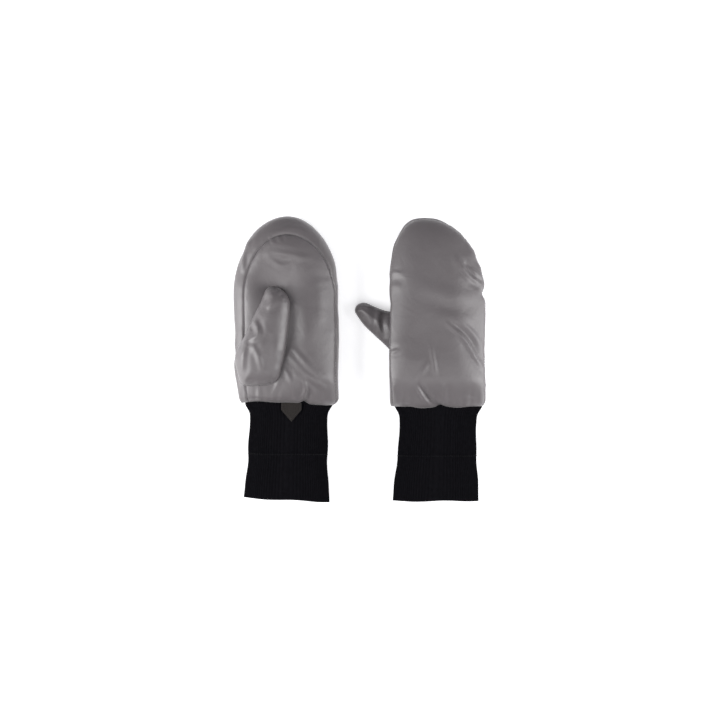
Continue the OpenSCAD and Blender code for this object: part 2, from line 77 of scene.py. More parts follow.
table_mesh = bpy.data.meshes.new("table")
reach = 4.0
table_mesh.from_pydata(
    [(-reach, -reach, 0), (reach, -reach, 0), (reach, reach, 0), (-reach, reach, 0)],
    [], [(0, 1, 2, 3)])
table = link(bpy.data.objects.new("table", table_mesh))
table_mat, _, _, table_shader = new_material("white_table", 0.9, 0.1)
table_shader.inputs["Base Color"].default_value = (0.93, 0.93, 0.94, 1)
table_shader.inputs["Emission Color"].default_value = (1, 1, 1, 1)
table_shader.inputs["Emission Strength"].default_value = 0.5
table_mesh.materials.append(table_mat)


def soft_box(name, place, size, power):
    data = bpy.data.lights.new(name, "AREA")
    data.shape = "RECTANGLE"
    data.size, data.size_y = size
    data.energy = power
    light = link(bpy.data.objects.new(name, data))
    light.location = place
    aim = Vector((0, 0, 0.02)) - Vector(place)
    light.rotation_euler = aim.to_track_quat("-Z", "Y").to_euler()
    return light


soft_box("side_light_left", (-1.25, -0.15, 0.6), (0.7, 1.3), 25)
soft_box("side_light_right", (1.25, -0.15, 0.6), (0.7, 1.3), 20)
top_light = soft_box("top_light", (0.0, -0.8, 1.6), (1.8, 1.4), 12)
top_light.data.specular_factor = 0.35

world = bpy.data.worlds.new("studio")
scene.world = world
world.use_nodes = True
world.node_tree.nodes["Background"].inputs["Color"].default_value = (0.9, 0.92, 1, 1)
world.node_tree.nodes["Background"].inputs["Strength"].default_value = 0.22

view_width = 0.828
lens = 85.0
camera_data = bpy.data.cameras.new("camera")
camera_data.lens = lens
camera_data.clip_end = 20
camera = link(bpy.data.objects.new("camera", camera_data))
camera.location = (0, 0, 0.02 + view_width * lens / camera_data.sensor_width)
scene.camera = camera

# ---------------------------------------------------------------------------
# Outer shell of the hands: palm, back and the side strip between them
# Each padded hand is cut from three panels of satin-coated nylon: an inset oval
# palm, a back, and a long strip that boxes the edge. They are sewn edge to edge,
# turned, and gathered into the cuff in a rounded hem.
# ---------------------------------------------------------------------------


def smooth(t):
    t = np.clip(t, 0, 1)
    return t * t * (3 - 2 * t)


def mix(a, b, t):
    return a + (b - a) * t


class Hand:
    """Sizes of one padded hand, from the frame's own nodes. x is its middle line,
    which runs to the fingertip, and the widths are measured from it."""

    def __init__(self, side, palm_up, thumb_share, tip_power, creases, pinches, hem):
        lo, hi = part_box(side + "_side_gusset")
        self.side, self.palm_up, self.tip_power = side, palm_up, tip_power
        self.creases, self.pinches, self.hem = creases, pinches, hem
        self.thumb_w = (hi.x - lo.x) * thumb_share
        self.outer_w = (hi.x - lo.x) - self.thumb_w
        self.x, self.wrist_y = lo.x + self.thumb_w, lo.y
        self.tip_len = 86 * MM
        self.turn_y = hi.y - self.tip_len
        self.cuff_lo, self.cuff_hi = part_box(side + "_cuff_knit")
        self.middle = self.x + (self.outer_w - self.thumb_w) / 2


# A crease is height, width and the points that it runs through, in millimetres on the
# table. A pinch is a place on the edge, how far it is drawn in, and how wide it is.
left_creases = [
    (0.7, 3.4, (-108, 122), (-82, 119), (-53, 115)),
    (0.6, 3.2, (-109, 122), (-90, 107), (-76, 112), (-66, 115)),
    (-0.7, 8.0, (-104, 112), (-84, 113), (-64, 112)),
    (-1.6, 14.0, (-118, 92), (-100, 84), (-84, 80)),
    (1.3, 3.4, (-84, 10), (-66, -13), (-36, -37)),
    (0.9, 3.0, (-78, 15), (-60, -5), (-40, -25)),
    (-1.3, 3.4, (-82, 4), (-62, -18), (-42, -38)),
    (1.1, 2.6, (-86, -8), (-79, -24), (-74, -40)),
    (1.0, 2.6, (-90, -16), (-94, -28), (-98, -40)),
    (1.6, 2.2, (-64, -22), (-62, -34), (-66, -46)),
    (-1.4, 2.6, (-57, -32), (-59, -48)),
    (0.5, 1.8, (-103, 141), (-98, 131)),
    (0.5, 1.8, (-94, 143), (-90, 133)),
    (0.5, 1.8, (-85, 144), (-83, 134)),
    (0.8, 4.0, (-113, 141), (-81, 150), (-54, 144)),
    (1.6, 2.6, (-125, 140), (-133, 122), (-135, 100)),
    (-1.0, 2.4, (-129, 131), (-137, 112)),
    (-1.8, 9.0, (-73, 62), (-74, 38), (-77, 12)),
    (0.7, 7.0, (-52, 98), (-45, 64), (-48, 30)),
]
right_creases = [
    (1.9, 2.6, (96, 44), (117, 25), (130, 5), (143, -14)),
    (-0.9, 3.4, (103, 44), (122, 29), (138, 8)),
    (0.6, 3.0, (112, 44), (130, 28), (140, 8)),
    (0.6, 9.0, (56, 92), (88, 76), (138, 64)),
    (-0.6, 9.0, (66, 76), (95, 60), (132, 52)),
    (0.5, 7.0, (76, 62), (100, 50), (130, 42)),
    (1.2, 3.0, (108, 120), (120, 102), (142, 82)),
    (-1.0, 3.0, (118, 112), (131, 92)),
    (1.0, 2.6, (120, 108), (132, 99), (143, 92)),
    (0.9, 2.6, (79, 24), (83, 0), (87, -25)),
    (0.9, 2.8, (79, -1), (69, -16), (62, -30)),
    (-2.0, 2.2, (66, -27), (75, -40), (85, -53)),
    (1.0, 2.2, (62, -26), (71, -41), (79, -52)),
    (0.8, 2.8, (98, -22), (95, -36), (97, -48)),
    (-0.7, 5.0, (34, 92), (43, 91), (52, 90)),
    (0.4, 2.4, (36, 101), (44, 98), (50, 98)),
    (0.8, 2.2, (35, 8), (45, 12)),
    (1.0, 3.0, (39, -24), (40, -47)),
    (0.7, 2.6, (116, -43), (136, -46)),
    (-0.8, 16.0, (60, 40), (68, 20), (64, 0)),
]
left_pinches = [(-146, 8, 1.5, 8), (-26, 96, 1.0, 10), (-140, 126, 2.0, 8)]
right_pinches = [(145, 76, 4.0, 5), (139, 116, 2.5, 6), (31, 64, 1.0, 6), (29, 90, 1.2, 6)]
# Where the hem is drawn up or hangs lower: place, height and width
left_hem = [(-118, 4.0, 22), (-80, 2.2, 18), (-61, 3.8, 5), (-32, -1.0, 14)]
right_hem = [(84, 2.8, 6), (62, -2.2, 14), (108, -1.6, 14), (52, 1.0, 5)]
hands = {
    "left": Hand("left", True, 61 / 118.5, 2.0, left_creases, left_pinches, left_hem),
    "right": Hand("right", False, 43.7 / 113.7, 2.5, right_creases, right_pinches,
                  right_hem),
}
full_thick = 46 * MM
crown, flat = 3.0, 4.0           # squareness of the upper side and of the table's side
palm_share_at = {"outer": 0.97, "tip": 0.75, "thumb": 0.82}
back_share_at = {"outer": 0.985, "tip": 0.985, "thumb": 0.94}


class ThumbLine:
    """Middle line of a thumb, from its pivot to its tip."""

    def __init__(self, hand, pivot_y, angle, bend):
        self.pivot = np.array([hand.middle - 28 * MM, hand.wrist_y + pivot_y * MM])
        self.angle, self.bend = math.radians(angle), math.radians(bend)

    def at(self, t, turn=0.0):
        """The point t metres along the line when the thumb is turned by an angle."""
        h0 = self.angle + turn
        if not self.bend:
            return self.pivot + t * np.array([math.cos(h0), math.sin(h0)])
        h, rho = h0 + self.bend * t / thumb_len, thumb_len / self.bend
        return self.pivot + rho * np.array(
            [math.sin(h) - math.sin(h0), math.cos(h0) - math.cos(h)])


thumb_len = 102 * MM
thumb_lines = {
    "left": ThumbLine(hands["left"], 33, 83.5, 0),
    "right": ThumbLine(hands["right"], 36, 112, 35),
}


# How far from the thumb's middle line the palm is pressed in, and how squarely
press_shape = {"left": (36 * MM, 2.6), "right": (34 * MM, 4)}
wrist_thick, wrist_lift = 30 * MM, 1.6 * MM
palm_below_thumb, palm_above_thumb = 37 * MM, 21.5 * MM


def press_of(hand, x, y):
    """Where the thumb presses into the palm, from 0 to 1."""
    line = thumb_lines[hand.side]
    turns = [0.0] if hand.palm_up else [0.0, math.radians(7.5), math.radians(15)]
    nearest = np.full(np.shape(x), 1e9)
    for turn in turns:
        knots = [line.at(thumb_len * k / 3, turn) for k in range(4)]
        for a, b in zip(knots[:-1], knots[1:]):
            p = np.stack([hand.x + x - a[0], y - a[1]], -1)
            t = np.clip((p @ (b - a)) / ((b - a) @ (b - a)), 0, 1)
            nearest = np.minimum(nearest, np.linalg.norm(p - t[..., None] * (b - a), axis=-1))
    reach, power = press_shape[hand.side]
    return np.exp(-(nearest / reach) ** power)


def faces_of(hand, x, y):
    """Heights of the hand's upper and lower faces over a plan point."""
    fade = 1 - smooth((y - hand.wrist_y) / (38 * MM))
    top, bottom = mix(full_thick, wrist_thick, fade), wrist_lift * fade
    press = press_of(hand, x + 0 * y, y)
    if hand.palm_up:
        return mix(top, palm_below_thumb, press), bottom
    return top, mix(bottom, palm_above_thumb, press)


def share_of(hand, x, y):
    """How far a plan point lies from the middle line (0) towards the edge (1)."""
    w = np.where(x > 0, hand.outer_w, hand.thumb_w)
    p = np.where(x > 0, 2.0, hand.tip_power)
    ahead = np.maximum(y - hand.turn_y, 0) / hand.tip_len
    return ((np.abs(x) / w) ** p + ahead ** p) ** (1 / p)


def rise_of(share, up):
    """Height of the section at that share, from the middle (0) to the face (1)."""
    p, lift = (crown, 1.0) if up else (flat, 1.05)
    return np.minimum(1, lift * np.maximum(1 - np.clip(share, 0, 1) ** p, 0) ** (1 / p))


def resample(points, n):
    step = np.linalg.norm(np.diff(points, axis=0), axis=1)
    run = np.concatenate([[0], np.cumsum(step)])
    want = np.linspace(0, run[-1], n)
    return np.stack([np.interp(want, run, points[:, k]) for k in range(points.shape[1])], 1)


def patch(left, right, bottom, top):
    """A grid of points inside four border lines."""
    a = np.linspace(0, 1, len(left))[:, None, None]
    b = np.linspace(0, 1, len(bottom))[None, :, None]
    corners = ((1 - a) * ((1 - b) * left[0] + b * right[0])
               + a * ((1 - b) * left[-1] + b * right[-1]))
    return ((1 - a) * bottom[None] + a * top[None]
            + (1 - b) * left[:, None] + b * right[:, None] - corners)


rows, cols, across = 144, 76, 36   # even numbers: the simulation uses every second one


def hand_form(hand):
    """The three panels as grids of plan x, plan y, share and rise. The side strip's
    first and last columns are the palm's and the back's borders."""
    y = np.linspace(hand.wrist_y, hand.turn_y, 600, endpoint=False)
    t = np.linspace(0, math.pi, 1200)
    c, s = np.cos(t), np.sin(t)
    power = np.where(c > 0, 1.0, 2 / hand.tip_power)
    w = np.where(c > 0, hand.outer_w, hand.thumb_w)
    arc = np.stack([np.sign(c) * np.abs(c) ** power * w,
                    hand.turn_y + np.abs(s) ** power * hand.tip_len], 1)
    edge = np.concatenate([
        np.stack([np.full_like(y, hand.outer_w), y], 1), arc,
        np.stack([np.full_like(y, -hand.thumb_w), y], 1)[::-1]])
    turn = np.concatenate([0 * y, t, 0 * y + math.pi])
    spine = np.stack([0 * edge[:, 1], np.minimum(edge[:, 1], hand.turn_y)], 1)
    share, back_share = (
        mix(np.where(turn < math.pi / 2, at["outer"], at["thumb"]), at["tip"], np.sin(turn))
        for at in (palm_share_at, back_share_at))
    seam = spine + share[:, None] * (edge - spine)
    line = resample(np.column_stack([seam, edge, spine, share, back_share]),
                    2 * rows + cols + 1)
    seam, edge, spine = line[:, :2], line[:, 2:4], line[:, 4:6]
    share, back_share = line[:, 6], line[:, 7]

    def panel(border, up):
        plan = patch(border[rows + cols:][::-1], border[:rows + 1],
                     np.linspace(border[-1], border[0], cols + 1),
                     border[rows:rows + cols + 1][::-1])
        shares = share_of(hand, plan[..., 0], plan[..., 1])
        rise = rise_of(shares, up) * (1 if up else -1)
        return np.dstack([plan, shares, rise])

    palm = panel(seam, hand.palm_up)
    back = panel(spine + back_share[:, None] * (edge - spine), not hand.palm_up)
    up = 1 if hand.palm_up else -1
    palm_power, back_power = (crown, flat) if hand.palm_up else (flat, crown)
    strip = np.zeros((len(line), across + 1, 4))
    for i in range(len(line)):
        f = np.linspace(up * math.acos(share[i] ** (palm_power / 2)),
                        -up * math.acos(back_share[i] ** (back_power / 2)), 240)
        q = 2 / np.where(f > 0, crown, flat)
        r = np.minimum(1, np.where(f > 0, 1.0, 1.05) * np.abs(np.sin(f)) ** q)
        far = np.linalg.norm(edge[i] - spine[i])
        section = resample(np.stack(
            [np.cos(f) ** q * far, np.sign(f) * r * full_thick / 2], 1), across + 1)
        s = section[:, 0] / far
        strip[i, :, :2] = spine[i] + s[:, None] * (edge[i] - spine[i])
        strip[i, :, 2], strip[i, :, 3] = s, section[:, 1] * 2 / full_thick
    return {"palm": palm, "side": strip, "back": back}


tuck, curl, lip = 4.0, 10.0, 6.8         # the rounded hem at the wrist, in millimetres
hem_reach, taper_len = 16, 50
wrist_taper = {"left": 5.5 * MM, "right": 3.6 * MM}
neck_half_w, neck_half_t = 51.5 * MM, 8.3 * MM


def stand_up(hand, form, depth=0.0):
    """Form values become points in space, depth metres below the outside. Near the
    wrist the cloth rounds over and turns in to meet the cuff."""
    x, y, share, rise = np.moveaxis(form, -1, 0)
    top, bottom = faces_of(hand, x, y)
    half = (top - bottom) / 2
    z = (top + bottom) / 2 + rise * (half - depth)
    ahead = np.maximum(y - hand.turn_y, 0)
    far = np.maximum(np.hypot(x, ahead), 1e-6)
    width = far / np.maximum(share, 1e-3)
    pull = np.minimum(depth * share / width, 0.9)
    plan_x, plan_y = x * (1 - pull), y - ahead * pull
    run = (y - hand.wrist_y) / MM
    turn = np.clip((run - tuck) / curl, 0, 1) * math.pi / 2
    out = np.where(run < tuck, 0.04 * run / tuck, 0.04 + 0.96 * np.sin(turn))
    hem = np.where(run < tuck, 3 - 4.2 * run / tuck, lip - 8 * np.cos(turn))
    shift = (lip - tuck - curl) * (1 - smooth((run - tuck - curl) / 60)) * MM
    new_y = np.where(run < tuck + curl, hand.wrist_y + hem * MM + depth * np.cos(turn),
                     plan_y + shift)
    taper = wrist_taper[hand.side] * (1 - smooth(run / taper_len))
    plan_x = plan_x * np.where(x < 0, 1 - taper / hand.thumb_w, 1)
    for hem_x, raised, wide in hand.hem:
        new_y = new_y + raised * MM * np.exp(
            -(((hand.x + plan_x) / MM - hem_x) / wide) ** 2 - (run / hem_reach) ** 2)
    neck_w, neck_t = neck_half_w - depth, neck_half_t - depth * 0.5
    neck_x = hand.middle - hand.x + np.sign(x) * share * neck_w
    neck_z = hand.cuff_hi.z - 8 * MM + rise * neck_t
    return np.stack([hand.x + mix(neck_x, plan_x, out), new_y, mix(neck_z, z, out)], -1)


def outward(hand, form):
    """Unit vectors away from the middle of the hand's section."""
    x, y, share, rise = np.moveaxis(form, -1, 0)
    ahead = np.maximum(y - hand.turn_y, 0)
    far = np.maximum(np.hypot(x, ahead), 1e-6)
    side = np.maximum(share, 1e-4) ** 2.2 / (50 * MM)
    n = np.stack([side * x / far, side * ahead / far, rise * np.abs(rise) / (23 * MM)], -1)
    return n / np.maximum(np.linalg.norm(n, axis=-1, keepdims=True), 1e-9)


def line_distance(points, line):
    """Signed distance in plan from points to a line through knots, and how far along
    the line the nearest place is, from 0 to 1."""
    line = resample(curve_through(np.array(line, float), False), 24)
    best = np.full(points.shape[:-1], 1e9)
    side, along = best * 0, best * 0
    for k, (a, b) in enumerate(zip(line[:-1], line[1:])):
        ab = b - a
        p = points - a
        t = np.clip((p @ ab) / (ab @ ab), 0, 1)
        d = np.linalg.norm(p - t[..., None] * ab, axis=-1)
        near = d < best
        best = np.where(near, d, best)
        side = np.where(near, np.sign(ab[0] * p[..., 1] - ab[1] * p[..., 0]) * d, side)
        along = np.where(near, (k + t) / (len(line) - 1), along)
    return best, side, along


def curve_through(knots, closed):
    """A smooth line through knots."""
    n = len(knots)
    if n == 2:
        return np.linspace(knots[0], knots[1], 12)
    out = []
    for i in range(n if closed else n - 1):
        if closed:
            p0, p1, p2, p3 = (knots[(i + k) % n] for k in (-1, 0, 1, 2))
        else:
            p0, p1, p2, p3 = (knots[min(max(i + k, 0), n - 1)] for k in (-1, 0, 1, 2))
        t = np.linspace(0, 1, 16, endpoint=False)[:, None]
        out.append(0.5 * (2 * p1 + (p2 - p0) * t + (2 * p0 - 5 * p1 + 4 * p2 - p3) * t ** 2
                          + (3 * p1 - p0 - 3 * p2 + p3) * t ** 3))
    out.append(knots[:1] if closed else knots[-1:])
    return np.concatenate(out)


def crease_height(points, creases):
    """Height of all the creases over plan points: a ridge with a shallow valley on
    each side, which dies out towards its ends."""
    plan = points[..., :2] / MM
    total = np.zeros(plan.shape[:-1])
    for height, width, *line in creases:
        _, side, along = line_distance(plan, line)
        d = np.abs(side) / width
        ends = np.sin(math.pi * np.clip(along, 0, 1)) ** 0.9
        total += height * MM * ends * (np.exp(-d ** 2) - 0.45 * np.exp(-(d - 1.7) ** 2))
    return total


def seam_relief(points, line, depth, width, gather, seed):
    """Depth of the groove along a sewn line, with the small gathers beside it."""
    best = np.full(points.shape[:-1], 1e9)
    place = best * 0
    run = np.concatenate([[0], np.cumsum(np.linalg.norm(np.diff(line, axis=0), axis=1))])
    for k in range(0, len(line), 2):
        d = np.linalg.norm(points - line[k], axis=-1)
        near = d < best
        best, place = np.where(near, d, best), np.where(near, run[k], place)
    wave = (np.sin(place / (3.1 * MM) + seed) + np.sin(place / (1.9 * MM) + 2.3 * seed)
            + np.sin(place / (7.3 * MM) + 0.7 * seed)) / 3
    return (-depth * np.exp(-(best / width) ** 2)
            + gather * wave * np.exp(-(best / (2.6 * width)) ** 2)
            * smooth(best / (0.8 * width)))


def settle(name, grids, held, pressure, spare, cap):
    """Cloth simulation of a closed padded form, sewn from grids that share borders.
    held marks the points that stay, spare is how much more cloth there is than the
    form needs. Returns how far every grid point moves, cap at most, with the finest
    ripples smoothed out."""
    cloth_scale, calm_passes = 10.0, 14
    coarse = [g[::2, ::2] for g in grids]
    keys, faces, start = [], [], 0
    for g in coarse:
        ids = np.arange(start, start + g.shape[0] * g.shape[1]).reshape(g.shape[:2])
        start += ids.size
        keys.append(g.reshape(-1, 3))
        faces.append(np.stack([ids[:-1, :-1].ravel(), ids[:-1, 1:].ravel(),
                               ids[1:, 1:].ravel(), ids[1:, :-1].ravel()], 1))
    flat_points = np.concatenate(keys)
    _, first, back = np.unique(np.round(flat_points / (0.02 * MM)), axis=0,
                               return_index=True, return_inverse=True)
    back = back.ravel()
    points = flat_points[first]
    quads = back[np.concatenate(faces)]
    mesh = bpy.data.meshes.new(name)
    polygons = [tuple(dict.fromkeys(int(i) for i in q)) for q in quads]
    mesh.from_pydata([tuple(p * cloth_scale) for p in points], [],
                     [q for q in polygons if len(q) > 2])
    obj = link(bpy.data.objects.new(name, mesh))
    fixed = np.unique(back[np.concatenate([h[::2, ::2].ravel() for h in held])])
    group = obj.vertex_groups.new(name="held")
    group.add([int(i) for i in fixed], 1.0, "REPLACE")
    cloth = obj.modifiers.new("cloth", "CLOTH")
    s = cloth.settings
    s.quality, s.mass = 5, 0.3
    s.tension_stiffness = s.compression_stiffness = 15
    s.shear_stiffness, s.bending_stiffness = 7, 12
    s.tension_damping = s.compression_damping = s.shear_damping = 10
    s.bending_damping, s.air_damping = 2, 2
    s.vertex_group_mass = "held"
    s.use_pressure, s.uniform_pressure_force = True, pressure
    s.shrink_min = -spare
    s.effector_weights.gravity = 0
    cloth.collision_settings.use_self_collision = False
    cloth.collision_settings.use_collision = False
    for f in range(1, 21):
        scene.frame_set(f)
    settled = obj.evaluated_get(bpy.context.evaluated_depsgraph_get())
    new = np.empty(len(points) * 3)
    settled.to_mesh().vertices.foreach_get("co", new)
    settled.to_mesh_clear()
    move = new.reshape(-1, 3) / cloth_scale - points
    bpy.data.objects.remove(obj)
    bpy.data.meshes.remove(mesh)
    scene.frame_set(1)
    far = np.linalg.norm(move, axis=1, keepdims=True)
    move = (move * np.minimum(1, cap / np.maximum(far, 1e-9)))[back]
    out, start = [], 0
    for g in coarse:
        n = g.shape[0] * g.shape[1]
        calm = move[start:start + n].reshape(g.shape).copy()
        for _ in range(calm_passes):
            calm[1:-1, 1:-1] = (calm[1:-1, 1:-1] + (
                calm[:-2, 1:-1] + calm[2:, 1:-1] + calm[1:-1, :-2] + calm[1:-1, 2:]) / 4) / 2
        out.append(double_up(calm))
        start += n
    return out


def double_up(grid):
    """Twice as many places each way, with smooth values in between."""
    for axis in (0, 1):
        g = np.moveaxis(grid, axis, 0)
        padded = np.concatenate([2 * g[:1] - g[1:2], g, 2 * g[-1:] - g[-2:-1]])
        halves = (9 * (g[:-1] + g[1:]) - padded[:-3] - padded[3:]) / 16
        fine = np.empty((2 * len(g) - 1,) + g.shape[1:])
        fine[::2], fine[1::2] = g, halves
        grid = np.moveaxis(fine, 0, axis)
    return grid


def layer_mesh(name, sheets, loop=False):
    """Closed sheets, each between an outer and an inner grid of points, as one piece.
    turned, the third value of a sheet, says that its grids run the other way, so that
    the faces point outwards. loop joins the last row to the first."""
    points, faces, start = [], [], 0
    for outer, inner, turned in sheets:
        n, m = outer.shape[:2]
        ids = np.arange(n * m).reshape(n, m)
        if loop:
            ids = np.concatenate([ids, ids[:1]])
        front = np.stack([ids[:-1, :-1].ravel(), ids[:-1, 1:].ravel(),
                          ids[1:, 1:].ravel(), ids[1:, :-1].ravel()], 1)
        if loop:
            rims = [ids[:, 0], ids[::-1, -1]]
        else:
            ring = np.concatenate(
                [ids[0, :-1], ids[:-1, -1], ids[-1, :0:-1], ids[:0:-1, 0]])
            rims = [np.concatenate([ring, ring[:1]])[::-1]]
        part = [front, front[:, ::-1] + n * m]
        for rim in rims:
            part.append(np.stack(
                [rim[:-1], rim[1:], rim[1:] + n * m, rim[:-1] + n * m], 1))
        part = np.concatenate(part)
        faces.append((part if turned else part[:, ::-1]) + start)
        points += [outer.reshape(-1, 3), inner.reshape(-1, 3)]
        start += 2 * n * m
    mesh = bpy.data.meshes.new(name)
    mesh.from_pydata([tuple(p) for p in np.concatenate(points)], [],
                     [tuple(int(i) for i in f) for f in np.concatenate(faces)])
    mesh.polygons.foreach_set("use_smooth", [True] * len(mesh.polygons))
    mesh.update()
    return link(bpy.data.objects.new(name, mesh))


def node_group(name, inputs, outputs):
    group = bpy.data.node_groups.new(name, "ShaderNodeTree")
    for label, kind, value in inputs:
        socket = group.interface.new_socket(label, in_out="INPUT", socket_type=kind)
        if value is not None:
            socket.default_value = value
    for label, kind in outputs:
        group.interface.new_socket(label, in_out="OUTPUT", socket_type=kind)
    return group, group.nodes.new("NodeGroupInput"), group.nodes.new("NodeGroupOutput")


def woven_group():
    """Fine plain weave with slow unevenness: a height for bump, and a mask for tone."""
    group, inside, outside = node_group(
        "woven_cloth",
        [("Threads per metre", "NodeSocketFloat", 1600.0), ("Unevenness", "NodeSocketFloat", 9.0)],
        [("Height", "NodeSocketFloat"), ("Tone", "NodeSocketFloat")])
    nodes, links = group.nodes, group.links
    place = nodes.new("ShaderNodeTexCoord")
    waves = []
    for axis in ("X", "Y"):
        wave = nodes.new("ShaderNodeTexWave")
        wave.bands_direction = axis
        wave.inputs["Distortion"].default_value = 0.6
        wave.inputs["Detail"].default_value = 1.0
        links.new(place.outputs["Object"], wave.inputs["Vector"])
        links.new(inside.outputs["Threads per metre"], wave.inputs["Scale"])
        waves.append(wave)
    weave = nodes.new("ShaderNodeMath")
    weave.operation = "MAXIMUM"
    links.new(waves[0].outputs["Fac"], weave.inputs[0])
    links.new(waves[1].outputs["Fac"], weave.inputs[1])
    slow = nodes.new("ShaderNodeTexNoise")
    slow.inputs["Detail"].default_value = 3.0
    slow.inputs["Roughness"].default_value = 0.55
    links.new(place.outputs["Object"], slow.inputs["Vector"])
    links.new(inside.outputs["Unevenness"], slow.inputs["Scale"])
    links.new(weave.outputs[0], outside.inputs["Height"])
    links.new(slow.outputs["Fac"], outside.inputs["Tone"])
    return group


def toned(nodes, links, mask, dark, light):
    """A colour between dark and light, as the mask says."""
    blend = nodes.new("ShaderNodeMix")
    blend.data_type = "RGBA"
    blend.inputs["A"].default_value = (*dark, 1)
    blend.inputs["B"].default_value = (*light, 1)
    links.new(mask, blend.inputs["Factor"])
    return blend.outputs["Result"]


def noise(nodes, links, scale, detail=2.0):
    """An uneven texture that stays with the piece as it moves."""
    place = nodes.new("ShaderNodeTexCoord")
    texture = nodes.new("ShaderNodeTexNoise")
    texture.inputs["Scale"].default_value = scale
    texture.inputs["Detail"].default_value = detail
    links.new(place.outputs["Object"], texture.inputs["Vector"])
    return texture


def bumped(nodes, links, height, distance, strength, shader, below=None):
    bump = nodes.new("ShaderNodeBump")
    bump.inputs["Distance"].default_value = distance
    bump.inputs["Strength"].default_value = strength
    links.new(height, bump.inputs["Height"])
    if below is not None:
        links.new(below, bump.inputs["Normal"])
    links.new(bump.outputs["Normal"], shader.inputs["Normal"])
    return bump.outputs["Normal"]


weave_group = woven_group()


def satin_material():
    """Grey-brown nylon with a satin coating: broad soft highlights, a fine weave, and
    the faint crumple of thin coated cloth."""
    mat, nodes, links, shader = new_material("satin_nylon", 0.36, 0.62)
    shader.inputs["Sheen Weight"].default_value = 0.12
    shader.inputs["Sheen Roughness"].default_value = 0.45
    shader.inputs["Coat Weight"].default_value = 0.25
    shader.inputs["Coat Roughness"].default_value = 0.42
    weave = nodes.new("ShaderNodeGroup")
    weave.node_tree = weave_group
    weave.inputs["Threads per metre"].default_value = 1500
    weave.inputs["Unevenness"].default_value = 14
    links.new(toned(nodes, links, weave.outputs["Tone"], (0.090, 0.079, 0.081),
                    (0.120, 0.108, 0.112)), shader.inputs["Base Color"])
    crumple = noise(nodes, links, 55, 4)
    crumple.inputs["Distortion"].default_value = 0.8
    first = bumped(nodes, links, crumple.outputs["Fac"], 0.0016, 0.35, shader)
    bumped(nodes, links, weave.outputs["Height"], 0.00012, 0.12, shader, first)
    gloss = nodes.new("ShaderNodeMapRange")
    gloss.inputs["To Min"].default_value = 0.38
    gloss.inputs["To Max"].default_value = 0.52
    links.new(weave.outputs["Tone"], gloss.inputs["Value"])
    links.new(gloss.outputs["Result"], shader.inputs["Roughness"])
    return mat


satin = satin_material()


def finish_piece(piece, material, body, nodes):
    """What every piece gets: its material, the CAD nodes that it stands in for hidden,
    and the body it moves with, where one is given."""
    piece.data.materials.clear()
    piece.data.materials.append(material)
    if body:
        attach(piece, body)
    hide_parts(*nodes)
    return piece


shell_t = 0.8 * MM
held_rows = 4                    # rows at the wrist that the simulation leaves alone
puff_start, puff_len = 6, 50     # where the padding starts to swell, and over how far
gather_height, gather_at, gather_len = 0.8 * MM, 13, 11
wave_height = 0.9 * MM
seam_width, seam_gather = 1.5 * MM, 0.25 * MM
palm_seam_depth, back_seam_depth = 1.3 * MM, 1.1 * MM
table_gap = 0.3 * MM
hand_work = {}
for side, hand in hands.items():
    forms = hand_form(hand)
    order = ("palm", "side", "back")
    base = {p: stand_up(hand, forms[p]) for p in order}
    # the palm's and the back's borders are the same points as the strip's edges
    held = {p: np.zeros(base[p].shape[:2], bool) for p in order}
    for p in ("palm", "back"):
        held[p][:, 0] = held[p][:, -1] = held[p][-1] = True
        held[p][:held_rows] = True
    held["side"][:, 0] = held["side"][:, -1] = True
    held["side"][:held_rows] = held["side"][-held_rows:] = True
    moves = settle(side + "_form", [base[p] for p in order], [held[p] for p in order],
                   pressure=4.0, spare=0.01, cap=3.0 * MM)
    palm_line = base["side"][:, 0]
    back_line = base["side"][:, -1]
    points = {}
    for p, move in zip(order, moves):
        facing_up = smooth(forms[p][..., 3] / 0.35)
        run = (forms[p][..., 1] - hand.wrist_y) / MM
        here = base[p] + move * smooth((run - puff_start) / puff_len)[..., None]
        plan_x = here[..., 0] / MM
        gathers = (np.sin(plan_x / 2.1) + np.sin(plan_x / 3.7 + 1) + np.sin(plan_x / 1.3 + 2)
                   ) / 3 * np.exp(-((run - gather_at) / gather_len) ** 2) * gather_height
        waves = (np.sin(plan_x / 19 + here[..., 1] / (31 * MM) + 1.7)
                 * np.sin(here[..., 1] / (23 * MM) - plan_x / 41)) * wave_height
        relief = (crease_height(here, hand.creases) * facing_up + gathers + waves
                  + seam_relief(here, palm_line, palm_seam_depth, seam_width, seam_gather, 1.0)
                  + seam_relief(here, back_line, back_seam_depth, seam_width, seam_gather, 4.0))
        new = here + outward(hand, forms[p]) * relief[..., None]
        for x, y, deep, wide in hand.pinches:
            d = np.hypot(new[..., 0] / MM - x, new[..., 1] / MM - y) / wide
            new[..., 0] += -np.sign(x - hand.middle / MM) * deep * MM * np.exp(-d ** 2)
        new[..., 2] = np.maximum(new[..., 2], table_gap)
        points[p] = new
    hand_work[side] = forms, base, points
    for p, panel_name in (("palm", "palm_shell"), ("side", "side_gusset"),
                          ("back", "back_shell")):
        inner = stand_up(hand, forms[p], shell_t) + points[p] - base[p]
        inner[..., 2] = np.maximum(inner[..., 2], 0.5 * MM)
        turned = (p == "back") == hand.palm_up
        piece = layer_mesh(side + "_" + panel_name + "_fabric", [(points[p], inner, turned)])
        finish_piece(piece, satin, side + "_hand", [side + "_" + panel_name])

# ---------------------------------------------------------------------------
# Wadding and lining of the hands
# Lofted polyester wadding lies behind each panel, and a fleece lining, cut as a
# back and a deep palm, hangs inside it and is caught in the wrist seam.
# ---------------------------------------------------------------------------
wadding_depths = (1.5 * MM, 6.8 * MM)
lining_depths = (7.1 * MM, 7.9 * MM)
hem_rows = 12


